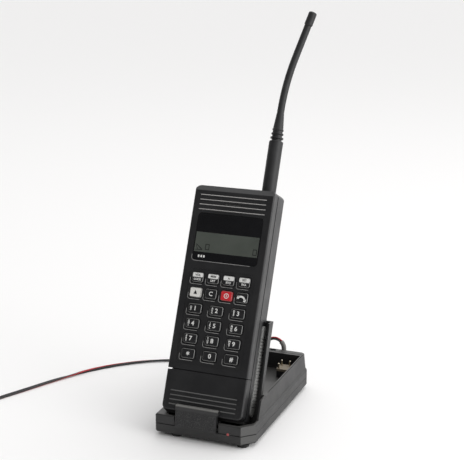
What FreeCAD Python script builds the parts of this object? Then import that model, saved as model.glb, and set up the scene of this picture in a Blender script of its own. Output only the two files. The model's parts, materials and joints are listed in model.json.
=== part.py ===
import FreeCAD, Part
import Sketcher
import math
import os
import re

# A hand-held cellular telephone leaning in its desktop charging cradle.
# Cradle frame: +X right, +Y to the rear, +Z up, y = 0 at the cradle's front before set_back is taken off.
# Telephone frame: x across the face, y depth behind the face, z up the face from its lower front edge.

Vector = FreeCAD.Vector
DEPTH_AXIS = Vector(0, 1, 0)
UP_AXIS = Vector(0, 0, 1)
ACROSS_AXIS = Vector(1, 0, 0)

# Driving dimensions in millimetres and degrees, one spreadsheet cell each.
SIZES = [
    # Placing
    ("set_back", 84.9),
    ("lean", 23.66),
    ("dock_x", -1.4),
    ("dock_y", 3.31),
    ("dock_z", 24.67),
    # Telephone casing
    ("phone_width", 76.0),
    ("phone_height", 203.0),
    ("phone_depth", 31.0),
    ("case_wall", 2.0),
    ("corner_radius", 4.5),
    ("edge_radius", 1.6),
    ("front_depth", 10.0),
    ("groove_width", 1.5),
    ("groove_inset", 1.3),
    ("bevel_rise", 5.0),
    ("bevel_run", 4.0),
    ("seam_height", 36.0),
    ("seam_gap", 0.7),
    ("fit_gap", 0.25),
    ("back_radius", 4.0),
    ("back_slope", 3.0),
    # Earpiece louvre and lower ridges
    ("louvre_width", 63.0),
    ("louvre_top", 193.6),
    ("louvre_pitch", 4.4),
    ("louvre_count", 4),
    ("rib_height", 1.5),
    ("rib_proud", 0.6),
    ("ridge_bottom", 5.2),
    ("ridge_pitch", 4.0),
    # Display
    ("window_width", 62.4),
    ("window_bottom", 134.2),
    ("window_top", 177.6),
    ("window_corner", 3.2),
    ("window_thick", 1.5),
    ("lcd_bottom", 141.0),
    ("lcd_tall", 22.0),
    ("lcd_wide", 64.0),
    ("lcd_thick", 3.0),
    # Keypad
    ("panel_width", 62.4),
    ("panel_bottom", 42.0),
    ("panel_top", 126.8),
    ("panel_corner", 4.0),
    ("panel_sink", 0.4),
    ("menu_key_width", 10.7),
    ("menu_key_tall", 8.6),
    ("menu_pitch", 14.8),
    ("menu_bottom", 105.6),
    ("menu_row_pitch", 13.6),
    ("digit_key_width", 12.6),
    ("digit_key_tall", 8.3),
    ("digit_pitch", 20.5),
    ("digit_bottom", 51.1),
    ("digit_row_pitch", 13.4),
    ("key_corner", 1.6),
    ("key_gap", 0.3),
    ("key_proud", 0.9),
    ("key_chamfer", 0.4),
    ("key_flange", 0.9),
    ("key_flange_thick", 1.3),
    ("key_travel", 0.8),
    ("key_well", 1.3),
    # Electronics of the telephone
    ("mat_thick", 2.2),
    ("board_thick", 1.6),
    ("board_width", 68.0),
    ("board_bottom", 46.0),
    ("board_top", 194.0),
    ("shield_depth", 12.0),
    ("earpiece_radius", 9.0),
    ("earpiece_thick", 4.0),
    ("microphone_radius", 2.4),
    ("microphone_thick", 4.0),
    ("case_screw_radius", 1.1),
    ("case_screw_long", 5.0),
    ("case_screw_x", 32.0),
    ("case_screw_low", 8.0),
    ("case_screw_mid", 101.0),
    ("case_screw_high", 178.0),
    # Battery
    ("battery_top", 88.0),
    ("battery_front", 19.4),
    ("battery_back", 31.4),
    ("battery_width", 72.6),
    ("battery_wall", 1.2),
    ("grip_proud", 1.6),
    ("grip_bottom", 4.4),
    ("grip_top", 84.9),
    ("grip_front", 20.6),
    ("grip_back", 31.6),
    ("grip_rib_pitch", 2.9),
    ("grip_rib_count", 22),
    ("grip_rib_width", 1.2),
    ("grip_rib_deep", 0.7),
    ("slot_front", 17.6),
    ("slot_margin", 2.4),
    ("cell_radius", 4.7),
    ("cell_long", 66.0),
    ("cell_count", 6),
    ("pad_size", 5.0),
    ("pad_thick", 0.5),
    ("pad_pitch", 14.0),
    # Aerial
    ("aerial_x", 26.5),
    ("aerial_depth", 15.6),
    ("sleeve_radius", 6.4),
    ("sleeve_tall", 47.5),
    ("ring_zone", 11.5),
    ("ring_low_radius", 5.9),
    ("ring_high_radius", 5.1),
    ("cone_low_radius", 4.7),
    ("cone_tall", 14.0),
    ("whip_radius", 3.25),
    ("whip_straight", 0.5),
    ("whip_bend_radius", 220.0),
    ("whip_bend", 13.8),
    ("whip_end", 31.0),
    ("tip_radius", 3.8),
    ("tip_tall", 13.5),
    ("stud_radius", 3.0),
    ("stud_long", 12.0),
    ("stud_gap", 0.08),
    ("socket_radius", 5.0),
    # Cradle shells
    ("base_right", 47.85),
    ("base_left", 44.3),
    ("base_long", 156.0),
    ("front_chamfer", 10.4),
    ("front_radius", 2.5),
    ("rear_radius", 8.0),
    ("foot_tall", 3.0),
    ("foot_radius", 6.0),
    ("foot_grip", 1.0),
    ("foot_left_x", -26.0),
    ("foot_right_x", 36.5),
    ("foot_front_y", 8.0),
    ("foot_rear_y", 141.0),
    ("parting_z", 11.6),
    ("parting_gap", 0.3),
    ("parting_chamfer", 0.35),
    ("base_wall", 2.4),
    ("base_edge_radius", 2.0),
    ("ledge_z", 20.4),
    ("ledge_width", 1.35),
    ("draft", 5.71),
    ("rim_z", 34.6),
    ("side_wall", 1.6),
    ("wall_foot_y", 19.0),
    ("wall_top_y", 30.0),
    ("wall_shoulder", 4.0),
    ("rest_half_width", 41.2),
    ("wing_wall", 1.4),
    ("wing_low_y", 31.4),
    ("wing_low_z", 11.0),
    ("wing_top_y", 60.3),
    ("wing_top_z", 95.5),
    ("rest_gap", 0.7),
    ("rest_thick", 1.9),
    ("well_floor_z", 9.0),
    ("shelf_gap", 0.3),
    ("shelf_thick", 2.4),
    ("shelf_front", 9.0),
    ("shelf_rise", 6.0),
    ("bay_floor_z", 20.0),
    ("bay_front_y", 44.0),
    ("bay_lean", 5.0),
    ("bay_rear_y", 144.0),
    ("bay_wall", 5.25),
    ("rim_groove", 0.7),
    ("rim_groove_deep", 1.0),
    ("rim_groove_side", 1.2),
    ("rim_groove_rear", 2.8),
    ("bay_step_y", 107.0),
    ("bay_step", 1.2),
    ("hollow_front_y", 45.0),
    ("floor_thick", 2.2),
    ("notch_x", 12.5),
    ("notch_wide", 6.0),
    ("notch_long", 3.4),
    ("notch_deep", 1.4),
    # Catch
    ("catch_x", -4.4),
    ("catch_width", 38.8),
    ("catch_side_gap", 1.6),
    ("catch_cheek", 1.3),
    ("catch_cheek_back", 2.9),
    ("catch_pin_y", 1.3),
    ("catch_pin_z", 14.6),
    ("catch_pin_radius", 1.25),
    ("catch_pin_gap", 0.06),
    ("catch_boss_radius", 2.5),
    ("catch_thick", 2.2),
    ("catch_lean", 10.5),
    ("catch_front_y", -2.9),
    ("catch_bottom_z", 12.3),
    ("catch_bar_z", 27.8),
    ("catch_bar_tall", 3.8),
    ("catch_bar_radius", 1.7),
    ("catch_bar_reach", 5.2),
    ("catch_bar_side", 1.4),
    ("pin_boss_wide", 4.0),
    ("pin_boss_back", 4.7),
    # Charger parts in the cradle
    ("led_x", 25.6),
    ("led_z", 12.0),
    ("led_radius", 1.3),
    ("led_flange", 1.0),
    ("screw_front_x", 30.0),
    ("screw_front_y", 41.0),
    ("screw_rear_x", 34.0),
    ("screw_rear_y", 138.0),
    ("screw_radius", 1.4),
    ("screw_head_radius", 2.8),
    ("screw_long", 10.0),
    ("screw_boss_radius", 3.4),
    ("charger_long", 66.0),
    ("charger_wide", 60.0),
    ("charger_front_y", 56.0),
    ("post_radius", 2.6),
    ("post_tall", 2.0),
    ("block_side", 15.85),
    ("block_wide", 12.0),
    ("block_front_y", 121.5),
    ("block_long", 13.0),
    ("block_top_z", 27.6),
    ("pin_radius", 0.9),
    ("pin_tip_z", 32.8),
    ("pin_gap", 0.1),
    ("pin_travel", 1.5),
    ("pin_inset", 1.9),
    ("contact_thick", 0.25),
    # Lead
    ("lead_radius", 1.4),
    ("gland_z", 25.4),
    ("gland_deep", 3.4),
    ("sleeve_outside", 2.3),
    ("duct_y", 150.0),
    ("coil_x", -225.0),
    ("coil_y", -215.0),
    ("coil_radius", 15.5),
    ("coil_wide", 16.9),
    ("coil_thick", 5.8),
    ("plug_radius", 5.0),
    ("plug_long", 22.0),
    ("plug_turn", 60.0),
    ("plug_from_x", -14.5),
    ("plug_from_y", -19.9),
]

# Points of the power lead on the floor and in the air, in cradle millimetres, chosen by hand.
LEAD_POINTS = [
    (20.6, 3.0, 29.8),
    (20.6, 3.0, 37.6),
    (15.1, 3.0, 43.1),
    (7.3, 3.2, 43.1),
    (-1.4, 4.0, 35.0),
    (-14.0, 5.5, 22.5),
    (-32.0, 8.0, 10.0),
    (-55.0, 10.5, 3.0),
    (-80.0, 11.5, 1.7),
    (-104.0, 8.5, 1.5),
    (-126.0, -4.0, 1.5),
    (-146.0, -21.0, 1.5),
    (-163.5, -40.5, 1.5),
    (-178.0, -64.0, 1.5),
    (-190.5, -88.0, 1.5),
    (-202.5, -115.0, 1.5),
    (-215.0, -141.0, 1.5),
    (-226.0, -168.0, 1.5),
    (-234.0, -194.0, 1.5),
]

MENU_NAMES = ["volume", "lock", "store", "recall"]
SERVICE_NAMES = ["shift", "clear", "power", "call"]
DIGIT_ROWS = [["star", "0", "hash"], ["7", "8", "9"], ["4", "5", "6"], ["1", "2", "3"]]

doc = FreeCAD.newDocument("TelephoneInCradle")
sheet = doc.addObject("Spreadsheet::Sheet", "Sizes")
for row, (alias, amount) in enumerate(SIZES, start=1):
    sheet.set("A%d" % row, alias)
    sheet.set("B%d" % row, str(amount))
    sheet.setAlias("B%d" % row, alias)
doc.recompute()

ALIASES = re.compile(r"\b(" + "|".join(alias for alias, _ in SIZES) + r")\b")
NODES = []


def bound(text):
    """Return an expression with each alias pointing at its cell."""
    return ALIASES.sub(r"Sizes.\1", str(text))


def amount_of(text):
    """Return the present value of an expression of aliases."""
    return float(sheet.evalExpression(bound(text)))


def bind(item, prop, text):
    item.setExpression(prop, bound(text))


def tilted(depth, height):
    """Give the cradle-frame y and z expressions of a point of the telephone's side view."""
    y_text = "(dock_y + (%s) * cos(lean) + (%s) * sin(lean))" % (depth, height)
    z_text = "(dock_z - (%s) * sin(lean) + (%s) * cos(lean))" % (depth, height)
    return y_text, z_text


def place(item, frame):
    """Bind an object's Placement to the cradle's or the telephone's frame."""
    if frame == "cradle":
        bind(item, "Placement", "placement(vector(0; -set_back; 0); rotation(vector(1;0;0); 0))")
    else:
        spot = "vector(dock_x; dock_y - set_back; dock_z)"
        bind(item, "Placement", "placement(%s; rotation(vector(1;0;0); -lean))" % spot)


def keep(item, label, frame):
    """Name a finished sub-part, place it and list it for export."""
    item.Label = label
    place(item, frame)
    NODES.append(item)
    return item


def new_body(label, frame):
    return keep(doc.addObject("PartDesign::Body", label), label, frame)


def new_sketch(body, role, name, lift="0"):
    """Add a sketch on one of the body's origin planes, lifted along the plane's normal."""
    sketch = body.newObject("Sketcher::SketchObject", name)
    plane = [item for item in body.Origin.OriginFeatures if item.Role == role][0]
    sketch.AttachmentSupport = [(plane, "")]
    sketch.MapMode = "FlatFace"
    bind(sketch, "AttachmentOffset.Base.z", lift)
    return sketch


def hold(sketch, geometry, corner, x_text, y_text):
    """Fix a geometry point at expressions of the sheet, measured from the sketch's origin."""
    for kind, text in (("DistanceX", x_text), ("DistanceY", y_text)):
        rule = Sketcher.Constraint(kind, -1, 1, geometry, corner, amount_of(text))
        index = sketch.addConstraint(rule)
        sketch.setExpression("Constraints[%d]" % index, bound(text))


def add_polygon(sketch, points):
    """Draw a closed outline whose corners are pairs of expressions."""
    first = sketch.GeometryCount
    spots = [Vector(amount_of(x), amount_of(y), 0) for x, y in points]
    for index, spot in enumerate(spots):
        sketch.addGeometry(Part.LineSegment(spot, spots[(index + 1) % len(spots)]))
    for index in range(len(spots)):
        following = first + (index + 1) % len(spots)
        sketch.addConstraint(Sketcher.Constraint("Coincident", first + index, 2, following, 1))
    for index, (x, y) in enumerate(points):
        hold(sketch, first + index, 1, x, y)
    return sketch


def add_rectangle(sketch, left, bottom, right, top):
    return add_polygon(sketch, [(left, bottom), (right, bottom), (right, top), (left, top)])


def add_circle(sketch, x, y, radius):
    spot = Vector(amount_of(x), amount_of(y), 0)
    index = sketch.addGeometry(Part.Circle(spot, Vector(0, 0, 1), amount_of(radius)))
    hold(sketch, index, 3, x, y)
    rule = sketch.addConstraint(Sketcher.Constraint("Radius", index, amount_of(radius)))
    sketch.setExpression("Constraints[%d]" % rule, bound(radius))
    return sketch


def add_round_rectangle(sketch, x, y, width, tall, radius):
    """Draw a rectangle with round corners about a centre, all sizes as expressions."""
    cx, cy, w, h, r = [amount_of(text) for text in (x, y, width, tall, radius)]
    x0, x1, y0, y1 = cx - w / 2, cx + w / 2, cy - h / 2, cy + h / 2
    first = sketch.GeometryCount
    ends = [((x0 + r, y0), (x1 - r, y0)), ((x1, y0 + r), (x1, y1 - r)),
            ((x1 - r, y1), (x0 + r, y1)), ((x0, y1 - r), (x0, y0 + r))]
    for start, end in ends:
        sketch.addGeometry(Part.LineSegment(Vector(*start, 0), Vector(*end, 0)))
    centres = [(x1 - r, y0 + r), (x1 - r, y1 - r), (x0 + r, y1 - r), (x0 + r, y0 + r)]
    for index, centre in enumerate(centres):
        circle = Part.Circle(Vector(*centre, 0), Vector(0, 0, 1), r)
        start = math.radians(90 * (index - 1))
        sketch.addGeometry(Part.ArcOfCircle(circle, start, start + math.pi / 2))
    for index in range(4):
        arc = first + 4 + index
        sketch.addConstraint(Sketcher.Constraint("Tangent", first + index, 2, arc, 1))
        sketch.addConstraint(Sketcher.Constraint("Tangent", arc, 2, first + (index + 1) % 4, 1))
    for index in (1, 2, 3):
        sketch.addConstraint(Sketcher.Constraint("Equal", first + 4, first + 4 + index))
    sketch.addConstraint(Sketcher.Constraint("Horizontal", first))
    sketch.addConstraint(Sketcher.Constraint("Vertical", first + 1))
    rule = sketch.addConstraint(Sketcher.Constraint("Radius", first + 4, r))
    sketch.setExpression("Constraints[%d]" % rule, bound(radius))
    hold(sketch, first, 1, "(%s) - (%s) / 2 + (%s)" % (x, width, radius), "(%s) - (%s) / 2" % (y, tall))
    hold(sketch, first + 2, 1, "(%s) + (%s) / 2 - (%s)" % (x, width, radius), "(%s) + (%s) / 2" % (y, tall))
    return sketch


def settle(feature):
    """Recompute, and stop if the feature has failed."""
    doc.recompute()
    if feature.Shape.isNull() or "Invalid" in feature.State or "Error" in feature.State:
        raise ValueError("feature %s has failed" % feature.Label)
    return feature


def pad(body, sketch, name, length, reverse=False, symmetric=False, taper=None):
    feature = body.newObject("PartDesign::Pad", name)
    feature.Profile = sketch
    feature.Reversed = reverse
    if symmetric:
        feature.SideType = "Symmetric"
    bind(feature, "Length", length)
    if taper is not None:
        bind(feature, "TaperAngle", taper)
    return settle(feature)


def pocket(body, sketch, name, length, reverse=False, symmetric=False, taper=None):
    """Cut a sketch out of a body, and stop if the cut takes nothing away."""
    before = body.Shape.Volume
    feature = body.newObject("PartDesign::Pocket", name)
    feature.Profile = sketch
    feature.Reversed = reverse
    if symmetric:
        feature.SideType = "Symmetric"
    bind(feature, "Length", length)
    if taper is not None:
        bind(feature, "TaperAngle", taper)
    settle(feature)
    if feature.Shape.Volume >= before - 1e-6:
        raise ValueError("%s takes nothing from %s" % (name, body.Label))
    return feature


def edges_where(feature, test, along):
    """Name the edges of a feature whose ends both pass a test and that run along an axis, if one is given."""
    chosen = []
    for index, edge in enumerate(feature.Shape.Edges, start=1):
        ends = [corner.Point for corner in edge.Vertexes]
        if len(ends) != 2 or not all(test(end) for end in ends):
            continue
        run = ends[1] - ends[0]
        if run.Length > 0.01 and (along is None or abs(run.dot(along)) > 0.9 * run.Length):
            chosen.append("Edge%d" % index)
    if not chosen:
        raise ValueError("no edge of %s matches" % feature.Label)
    return chosen


def fillet(body, name, base, test, radius, along=None):
    feature = body.newObject("PartDesign::Fillet", name)
    feature.Base = (base, edges_where(base, test, along))
    bind(feature, "Radius", radius)
    return settle(feature)


def chamfer(body, name, base, test, size, along=None):
    feature = body.newObject("PartDesign::Chamfer", name)
    feature.Base = (base, edges_where(base, test, along))
    bind(feature, "Size", size)
    return settle(feature)


def repeat(body, name, originals, steps):
    """Repeat features along sketch axes; steps are (reference, axis, pitch, count) rows."""
    multi = body.newObject("PartDesign::MultiTransform", name)
    multi.Originals = originals
    patterns = []
    for index, (sketch, axis, pitch, count) in enumerate(steps):
        pattern = body.newObject("PartDesign::LinearPattern", "%sStep%d" % (name, index))
        pattern.Direction = (sketch, [axis])
        bind(pattern, "Length", "(%s) * ((%s) - 1)" % (pitch, count))
        bind(pattern, "Occurrences", count)
        patterns.append(pattern)
    multi.Transformations = patterns
    body.Tip = multi
    return settle(multi)


def near(value, text, slack=0.02):
    return abs(value - amount_of(text)) < slack


def primitive(kind, name, sizes, spot, turn=None):
    """Make a Part primitive with bound sizes at a bound spot, its axis turned if asked."""
    item = doc.addObject(kind, name)
    for prop, text in sizes.items():
        bind(item, prop, text)
    axis, angle = turn or ("vector(0;0;1)", "0")
    where = "vector(%s; %s; %s)" % spot
    bind(item, "Placement", "placement(%s; rotation(%s; %s))" % (where, axis, angle))
    return item


def group(label, frame, items):
    """Join like pieces into one node of separate solids."""
    compound = doc.addObject("Part::Compound", label)
    compound.Links = items
    return keep(compound, label, frame)


def fuse(label, frame, items):
    joined = doc.addObject("Part::MultiFuse", label)
    joined.Shapes = items
    return keep(joined, label, frame)


HALF_WIDE = "phone_width / 2"
BACKWARD = ("vector(1;0;0)", "-90")


# ------------------------------------------------------------------ telephone casing

def key_grid():
    """List every key as (name, x, z, width, height) in expressions."""
    keys = []
    for column in range(4):
        x = "menu_pitch * %.1f" % (column - 1.5)
        keys.append((MENU_NAMES[column], x, "menu_bottom + menu_row_pitch", "menu_key_width", "menu_key_tall"))
    for column in range(4):
        x = "menu_pitch * %.1f" % (column - 1.5)
        keys.append((SERVICE_NAMES[column], x, "menu_bottom", "menu_key_width", "menu_key_tall"))
    for level, names in enumerate(DIGIT_ROWS):
        for column, name in enumerate(names):
            x = "digit_pitch * %d" % (column - 1)
            z = "digit_bottom + digit_row_pitch * %d" % level
            keys.append((name, x, z, "digit_key_width", "digit_key_tall"))
    return keys


def cut_key_holes(body):
    """Cut the keypad's sunk panel, and the holes and wells of both key sizes as patterns."""
    panel = new_sketch(body, "XZ_Plane", "PanelOutline")
    middle = "(panel_bottom + panel_top) / 2"
    add_round_rectangle(panel, "0", middle, "panel_width", "panel_top - panel_bottom", "panel_corner")
    pocket(body, panel, "Panel", "panel_sink")
    groups = [
        ("Menu", "-1.5 * menu_pitch", "menu_bottom", "menu_key_width", "menu_key_tall",
         [("H_Axis", "menu_pitch", "4"), ("V_Axis", "menu_row_pitch", "2")]),
        ("Digit", "-digit_pitch", "digit_bottom", "digit_key_width", "digit_key_tall",
         [("H_Axis", "digit_pitch", "3"), ("V_Axis", "digit_row_pitch", "4")]),
    ]
    for name, x, z, wide, tall, steps in groups:
        hole = new_sketch(body, "XZ_Plane", name + "HoleOutline")
        add_round_rectangle(hole, x, z, wide + " + 2 * key_gap", tall + " + 2 * key_gap", "key_corner + key_gap")
        through = pocket(body, hole, name + "Hole", "case_wall + 1")
        well = new_sketch(body, "XZ_Plane", name + "WellOutline")
        add_round_rectangle(well, x, z, wide + " + 2 * key_well", tall + " + 2 * key_well", "key_corner + key_well")
        sunk = pocket(body, well, name + "Well", "panel_sink + 0.45", taper="-45")
        repeat(body, name + "Holes", [through, sunk], [(hole, axis, pitch, count) for axis, pitch, count in steps])


def add_bars(body, name, lowest, pitch, count, width):
    """Add a row of round-topped bars across the face, standing proud of it."""
    sketch = new_sketch(body, "YZ_Plane", name + "Section")
    low = "(%s) - rib_height / 2" % lowest
    high = "(%s) + rib_height / 2" % lowest
    add_polygon(sketch, [("0.5", low), ("0", low), ("-rib_proud * 0.8", "%s + rib_height * 0.22" % low),
                         ("-rib_proud", lowest), ("-rib_proud * 0.8", "%s - rib_height * 0.22" % high),
                         ("0", high), ("0.5", high)])
    bar = pad(body, sketch, name, width, symmetric=True)
    return repeat(body, name + "Row", [bar], [(sketch, "V_Axis", pitch, count)])


def make_front_housing():
    body = new_body("front_housing", "phone")
    outline = new_sketch(body, "YZ_Plane", "SideView")
    low = "seam_height + seam_gap"
    add_rectangle(outline, "0", low, "front_depth", "phone_height")
    last = pad(body, outline, "Block", "phone_width", symmetric=True)

    def top_corner(point):
        return near(abs(point.x), HALF_WIDE) and near(point.z, "phone_height")
    last = fillet(body, "UpperCorners", last, top_corner, "corner_radius", DEPTH_AXIS)

    def front_side(point):
        return near(abs(point.x), HALF_WIDE) and near(point.y, "0")
    fillet(body, "FaceSides", last, front_side, "edge_radius", UP_AXIS)
    bevel = new_sketch(body, "YZ_Plane", "BevelOutline")
    slope = "bevel_rise / bevel_run"
    add_polygon(bevel, [("-1", "phone_height - bevel_rise - %s" % slope),
                        ("bevel_run + 1", "phone_height + %s" % slope), ("-1", "phone_height + %s" % slope)])
    pocket(body, bevel, "Bevel", "phone_width + 2", symmetric=True)
    inside = new_sketch(body, "XZ_Plane", "Inside", "-front_depth")
    add_rectangle(inside, "-" + HALF_WIDE + " + case_wall", low + " + case_wall",
                  HALF_WIDE + " - case_wall", "phone_height - bevel_rise - 0.6")
    pocket(body, inside, "Hollow", "front_depth - case_wall", reverse=True)
    window = new_sketch(body, "XZ_Plane", "WindowOutline")
    middle = "(window_bottom + window_top) / 2"
    add_round_rectangle(window, "0", middle, "window_width", "window_top - window_bottom", "window_corner")
    pocket(body, window, "WindowOpening", "case_wall + 1")
    cut_key_holes(body)
    add_bars(body, "Louvre", "louvre_top - louvre_pitch * (louvre_count - 1)", "louvre_pitch",
             "louvre_count", "louvre_width")
    grille = new_sketch(body, "XZ_Plane", "EarSlots")
    slot_low = "louvre_top - louvre_pitch * 1.5 - 0.5"
    add_rectangle(grille, "-8", slot_low, "8", slot_low + " + 1.0")
    pocket(body, grille, "EarSlot", "case_wall + 1")
    for side, name in (("-", "LeftBoss"), ("", "RightBoss")):
        boss = new_sketch(body, "XZ_Plane", name + "Outline", "-case_wall")
        add_circle(boss, side + "30.5", "130.5", "2.6")
        pad(body, boss, name, "4.7", reverse=True)
    return body


def make_lower_front_cover():
    body = new_body("lower_front_cover", "phone")
    outline = new_sketch(body, "YZ_Plane", "SideView")
    add_rectangle(outline, "0", "0", "front_depth", "seam_height")
    last = pad(body, outline, "Block", "phone_width", symmetric=True)

    def lower_corner(point):
        return near(abs(point.x), HALF_WIDE) and near(point.z, "0")
    last = fillet(body, "LowerCorners", last, lower_corner, "corner_radius", DEPTH_AXIS)

    def front_side(point):
        return near(abs(point.x), HALF_WIDE) and near(point.y, "0")
    fillet(body, "FaceSides", last, front_side, "edge_radius", UP_AXIS)
    inside = new_sketch(body, "XZ_Plane", "Inside", "-front_depth")
    add_rectangle(inside, "-" + HALF_WIDE + " + case_wall", "case_wall",
                  HALF_WIDE + " - case_wall", "seam_height - case_wall")
    pocket(body, inside, "Hollow", "front_depth - case_wall", reverse=True)
    notch = new_sketch(body, "XZ_Plane", "ReleaseNotch")
    add_rectangle(notch, "-" + HALF_WIDE + " - 1", "seam_height - 0.6", "-" + HALF_WIDE + " + 4.6", "seam_height + 1")
    pocket(body, notch, "Release", "front_depth + 1")
    add_bars(body, "Ridge", "ridge_bottom", "ridge_pitch", "louvre_count", "louvre_width")
    return body


def make_rear_housing():
    body = new_body("rear_housing", "phone")
    outline = new_sketch(body, "YZ_Plane", "SideView")
    rear = "front_depth + groove_width"
    add_rectangle(outline, rear, "0", "phone_depth", "phone_height - 0.3")
    last = pad(body, outline, "Block", "phone_width", symmetric=True)

    def upper_corner(point):
        return near(abs(point.x), HALF_WIDE) and near(point.z, "phone_height - 0.3")
    last = fillet(body, "UpperCorners", last, upper_corner, "corner_radius", DEPTH_AXIS)

    def back_side(point):
        return near(abs(point.x), HALF_WIDE) and near(point.y, "phone_depth")
    fillet(body, "BackEdges", last, back_side, "back_radius", UP_AXIS)
    slope = new_sketch(body, "YZ_Plane", "SlopeOutline")
    add_polygon(slope, [("battery_front", "phone_height - 0.3"), ("phone_depth + 1", "phone_height - back_slope - 0.5"),
                        ("phone_depth + 1", "phone_height + 1"), ("battery_front", "phone_height + 1")])
    pocket(body, slope, "Slope", "phone_width + 2", symmetric=True)
    bay = new_sketch(body, "YZ_Plane", "BatteryBayOutline")
    add_rectangle(bay, "battery_front - fit_gap", "-1", "phone_depth + 1", "battery_top + fit_gap")
    pocket(body, bay, "BatteryBay", "phone_width + 2", symmetric=True)
    inside = new_sketch(body, "XZ_Plane", "UpperInside", "-(%s)" % rear)
    inner = "(phone_width / 2 - case_wall)"
    add_rectangle(inside, "-" + inner, "battery_top + fit_gap + case_wall",
                  inner, "phone_height - back_slope - case_wall - 2")
    pocket(body, inside, "UpperHollow", "phone_depth - case_wall - (%s)" % rear)
    lower = new_sketch(body, "XZ_Plane", "LowerInside", "-(%s)" % rear)
    add_rectangle(lower, "-" + inner, "case_wall", inner, "battery_top + case_wall + 1")
    pocket(body, lower, "LowerHollow", "battery_front - fit_gap - case_wall - (%s)" % rear)
    tongue = new_sketch(body, "XZ_Plane", "TongueOutline", "-(%s)" % rear)
    add_rectangle(tongue, "-" + HALF_WIDE + " + groove_inset", "groove_inset",
                  HALF_WIDE + " - groove_inset", "phone_height - groove_inset - 0.3")
    add_rectangle(tongue, "-" + inner, "case_wall", inner,
                  "phone_height - back_slope - case_wall - 2")
    pad(body, tongue, "Tongue", "groove_width - 0.2")
    slot = new_sketch(body, "YZ_Plane", "GripSlotOutline", "-" + HALF_WIDE + " - 1")
    slot_mid = "(grip_bottom + grip_top) / 2"
    slot_tall = "grip_top - grip_bottom + 2 * slot_margin"
    slot_wide = "2 * (battery_back - slot_front)"
    add_round_rectangle(slot, "battery_back", slot_mid, slot_wide, slot_tall, "slot_margin + 3.4")
    pocket(body, slot, "LeftGripSlot", "1 + grip_proud", reverse=True)
    other = new_sketch(body, "YZ_Plane", "RightSlotOutline", HALF_WIDE + " + 1")
    add_round_rectangle(other, "battery_back", slot_mid, slot_wide, slot_tall, "slot_margin + 3.4")
    pocket(body, other, "RightGripSlot", "1 + grip_proud")
    for index, (x, z) in enumerate(case_screw_spots()):
        back = "battery_front - fit_gap - case_wall" if index % 3 == 0 else "phone_depth - case_wall"
        post = new_sketch(body, "XZ_Plane", "PostOutline%d" % index, "-(%s + 0.1)" % back)
        add_circle(post, x, z, "case_screw_radius + 1.4")
        pad(body, post, "Post%d" % index, "%s + 0.1 - (%s)" % (back, rear))
        bore = new_sketch(body, "XZ_Plane", "BoreOutline%d" % index, "-(%s)" % rear)
        add_circle(bore, x, z, "case_screw_radius + 0.08")
        pocket(body, bore, "Bore%d" % index, "case_screw_long + 0.2")
    hole = new_sketch(body, "XY_Plane", "AerialHole", "phone_height + 2")
    add_circle(hole, "aerial_x", "aerial_depth", "stud_radius + 0.4")
    pocket(body, hole, "AerialOpening", "12")
    return body


def make_display_window():
    body = new_body("display_window", "phone")
    outline = new_sketch(body, "XZ_Plane", "Outline", "-0.1")
    middle = "(window_bottom + window_top) / 2"
    add_round_rectangle(outline, "0", middle, "window_width - 2 * fit_gap",
                        "window_top - window_bottom - 2 * fit_gap", "window_corner - fit_gap")
    pad(body, outline, "Plate", "window_thick", reverse=True)
    return body


def make_box(label, x, y, z, wide, deep, tall):
    """Make a plain plate or block of the telephone's inside, centred across."""
    body = new_body(label, "phone")
    outline = new_sketch(body, "XZ_Plane", "Outline", "-(%s)" % y)
    add_rectangle(outline, "(%s) - (%s) / 2" % (x, wide), z, "(%s) + (%s) / 2" % (x, wide), "(%s) + (%s)" % (z, tall))
    pad(body, outline, "Block", deep, reverse=True)
    return body


def make_round(label, x, y, z, radius, thick):
    """Make a disc of the telephone's inside, its axis front to back."""
    body = new_body(label, "phone")
    outline = new_sketch(body, "XZ_Plane", "Outline", "-(%s)" % y)
    add_circle(outline, x, z, radius)
    pad(body, outline, "Disc", thick, reverse=True)
    return body


KEY_BACK = "case_wall + fit_gap + key_flange_thick"


def make_key(name, x, z, wide, tall):
    """Make one key: a cap with a bevelled face on a wider flange behind the casing's wall."""
    body = new_body("key_" + name, "phone")
    cap = new_sketch(body, "XZ_Plane", "CapOutline", "-(case_wall + fit_gap)")
    add_round_rectangle(cap, x, z, wide, tall, "key_corner")
    last = pad(body, cap, "Cap", "case_wall + fit_gap + key_proud")

    def face(point):
        return near(point.y, "-key_proud")
    chamfer(body, "FaceEdge", last, face, "key_chamfer")
    flange = new_sketch(body, "XZ_Plane", "FlangeOutline", "-(case_wall + fit_gap)")
    add_round_rectangle(flange, x, z, wide + " + 2 * key_flange", tall + " + 2 * key_flange", "key_corner")
    pad(body, flange, "Flange", "key_flange_thick", reverse=True)
    return body


MAT_FRONT = KEY_BACK + " + key_travel + 0.2"
BOARD_FRONT = MAT_FRONT + " + mat_thick + 0.2"
BOARD_BACK = BOARD_FRONT + " + board_thick"


def make_electronics():
    """Make the pieces between the casing halves: mat, board, shield, display, ear and mouth pieces."""
    make_box("keymat", "0", MAT_FRONT, "board_bottom", "panel_width", "mat_thick", "panel_top - board_bottom")
    make_box("main_board", "0", BOARD_FRONT, "board_bottom", "board_width", "board_thick", "board_top - board_bottom")
    make_box("lcd_module", "0", "case_wall", "lcd_bottom", "lcd_wide", "lcd_thick", "lcd_tall")
    make_box("rf_shield", "-6", BOARD_BACK + " + 0.2", "battery_top + 6", "44", "shield_depth", "76")
    make_round("earpiece", "0", "case_wall + 0.3", "louvre_top - louvre_pitch * 1.5", "earpiece_radius",
               "earpiece_thick")
    make_round("microphone", "0", "case_wall + 0.3", "board_bottom - 4.6", "microphone_radius", "microphone_thick")


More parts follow.
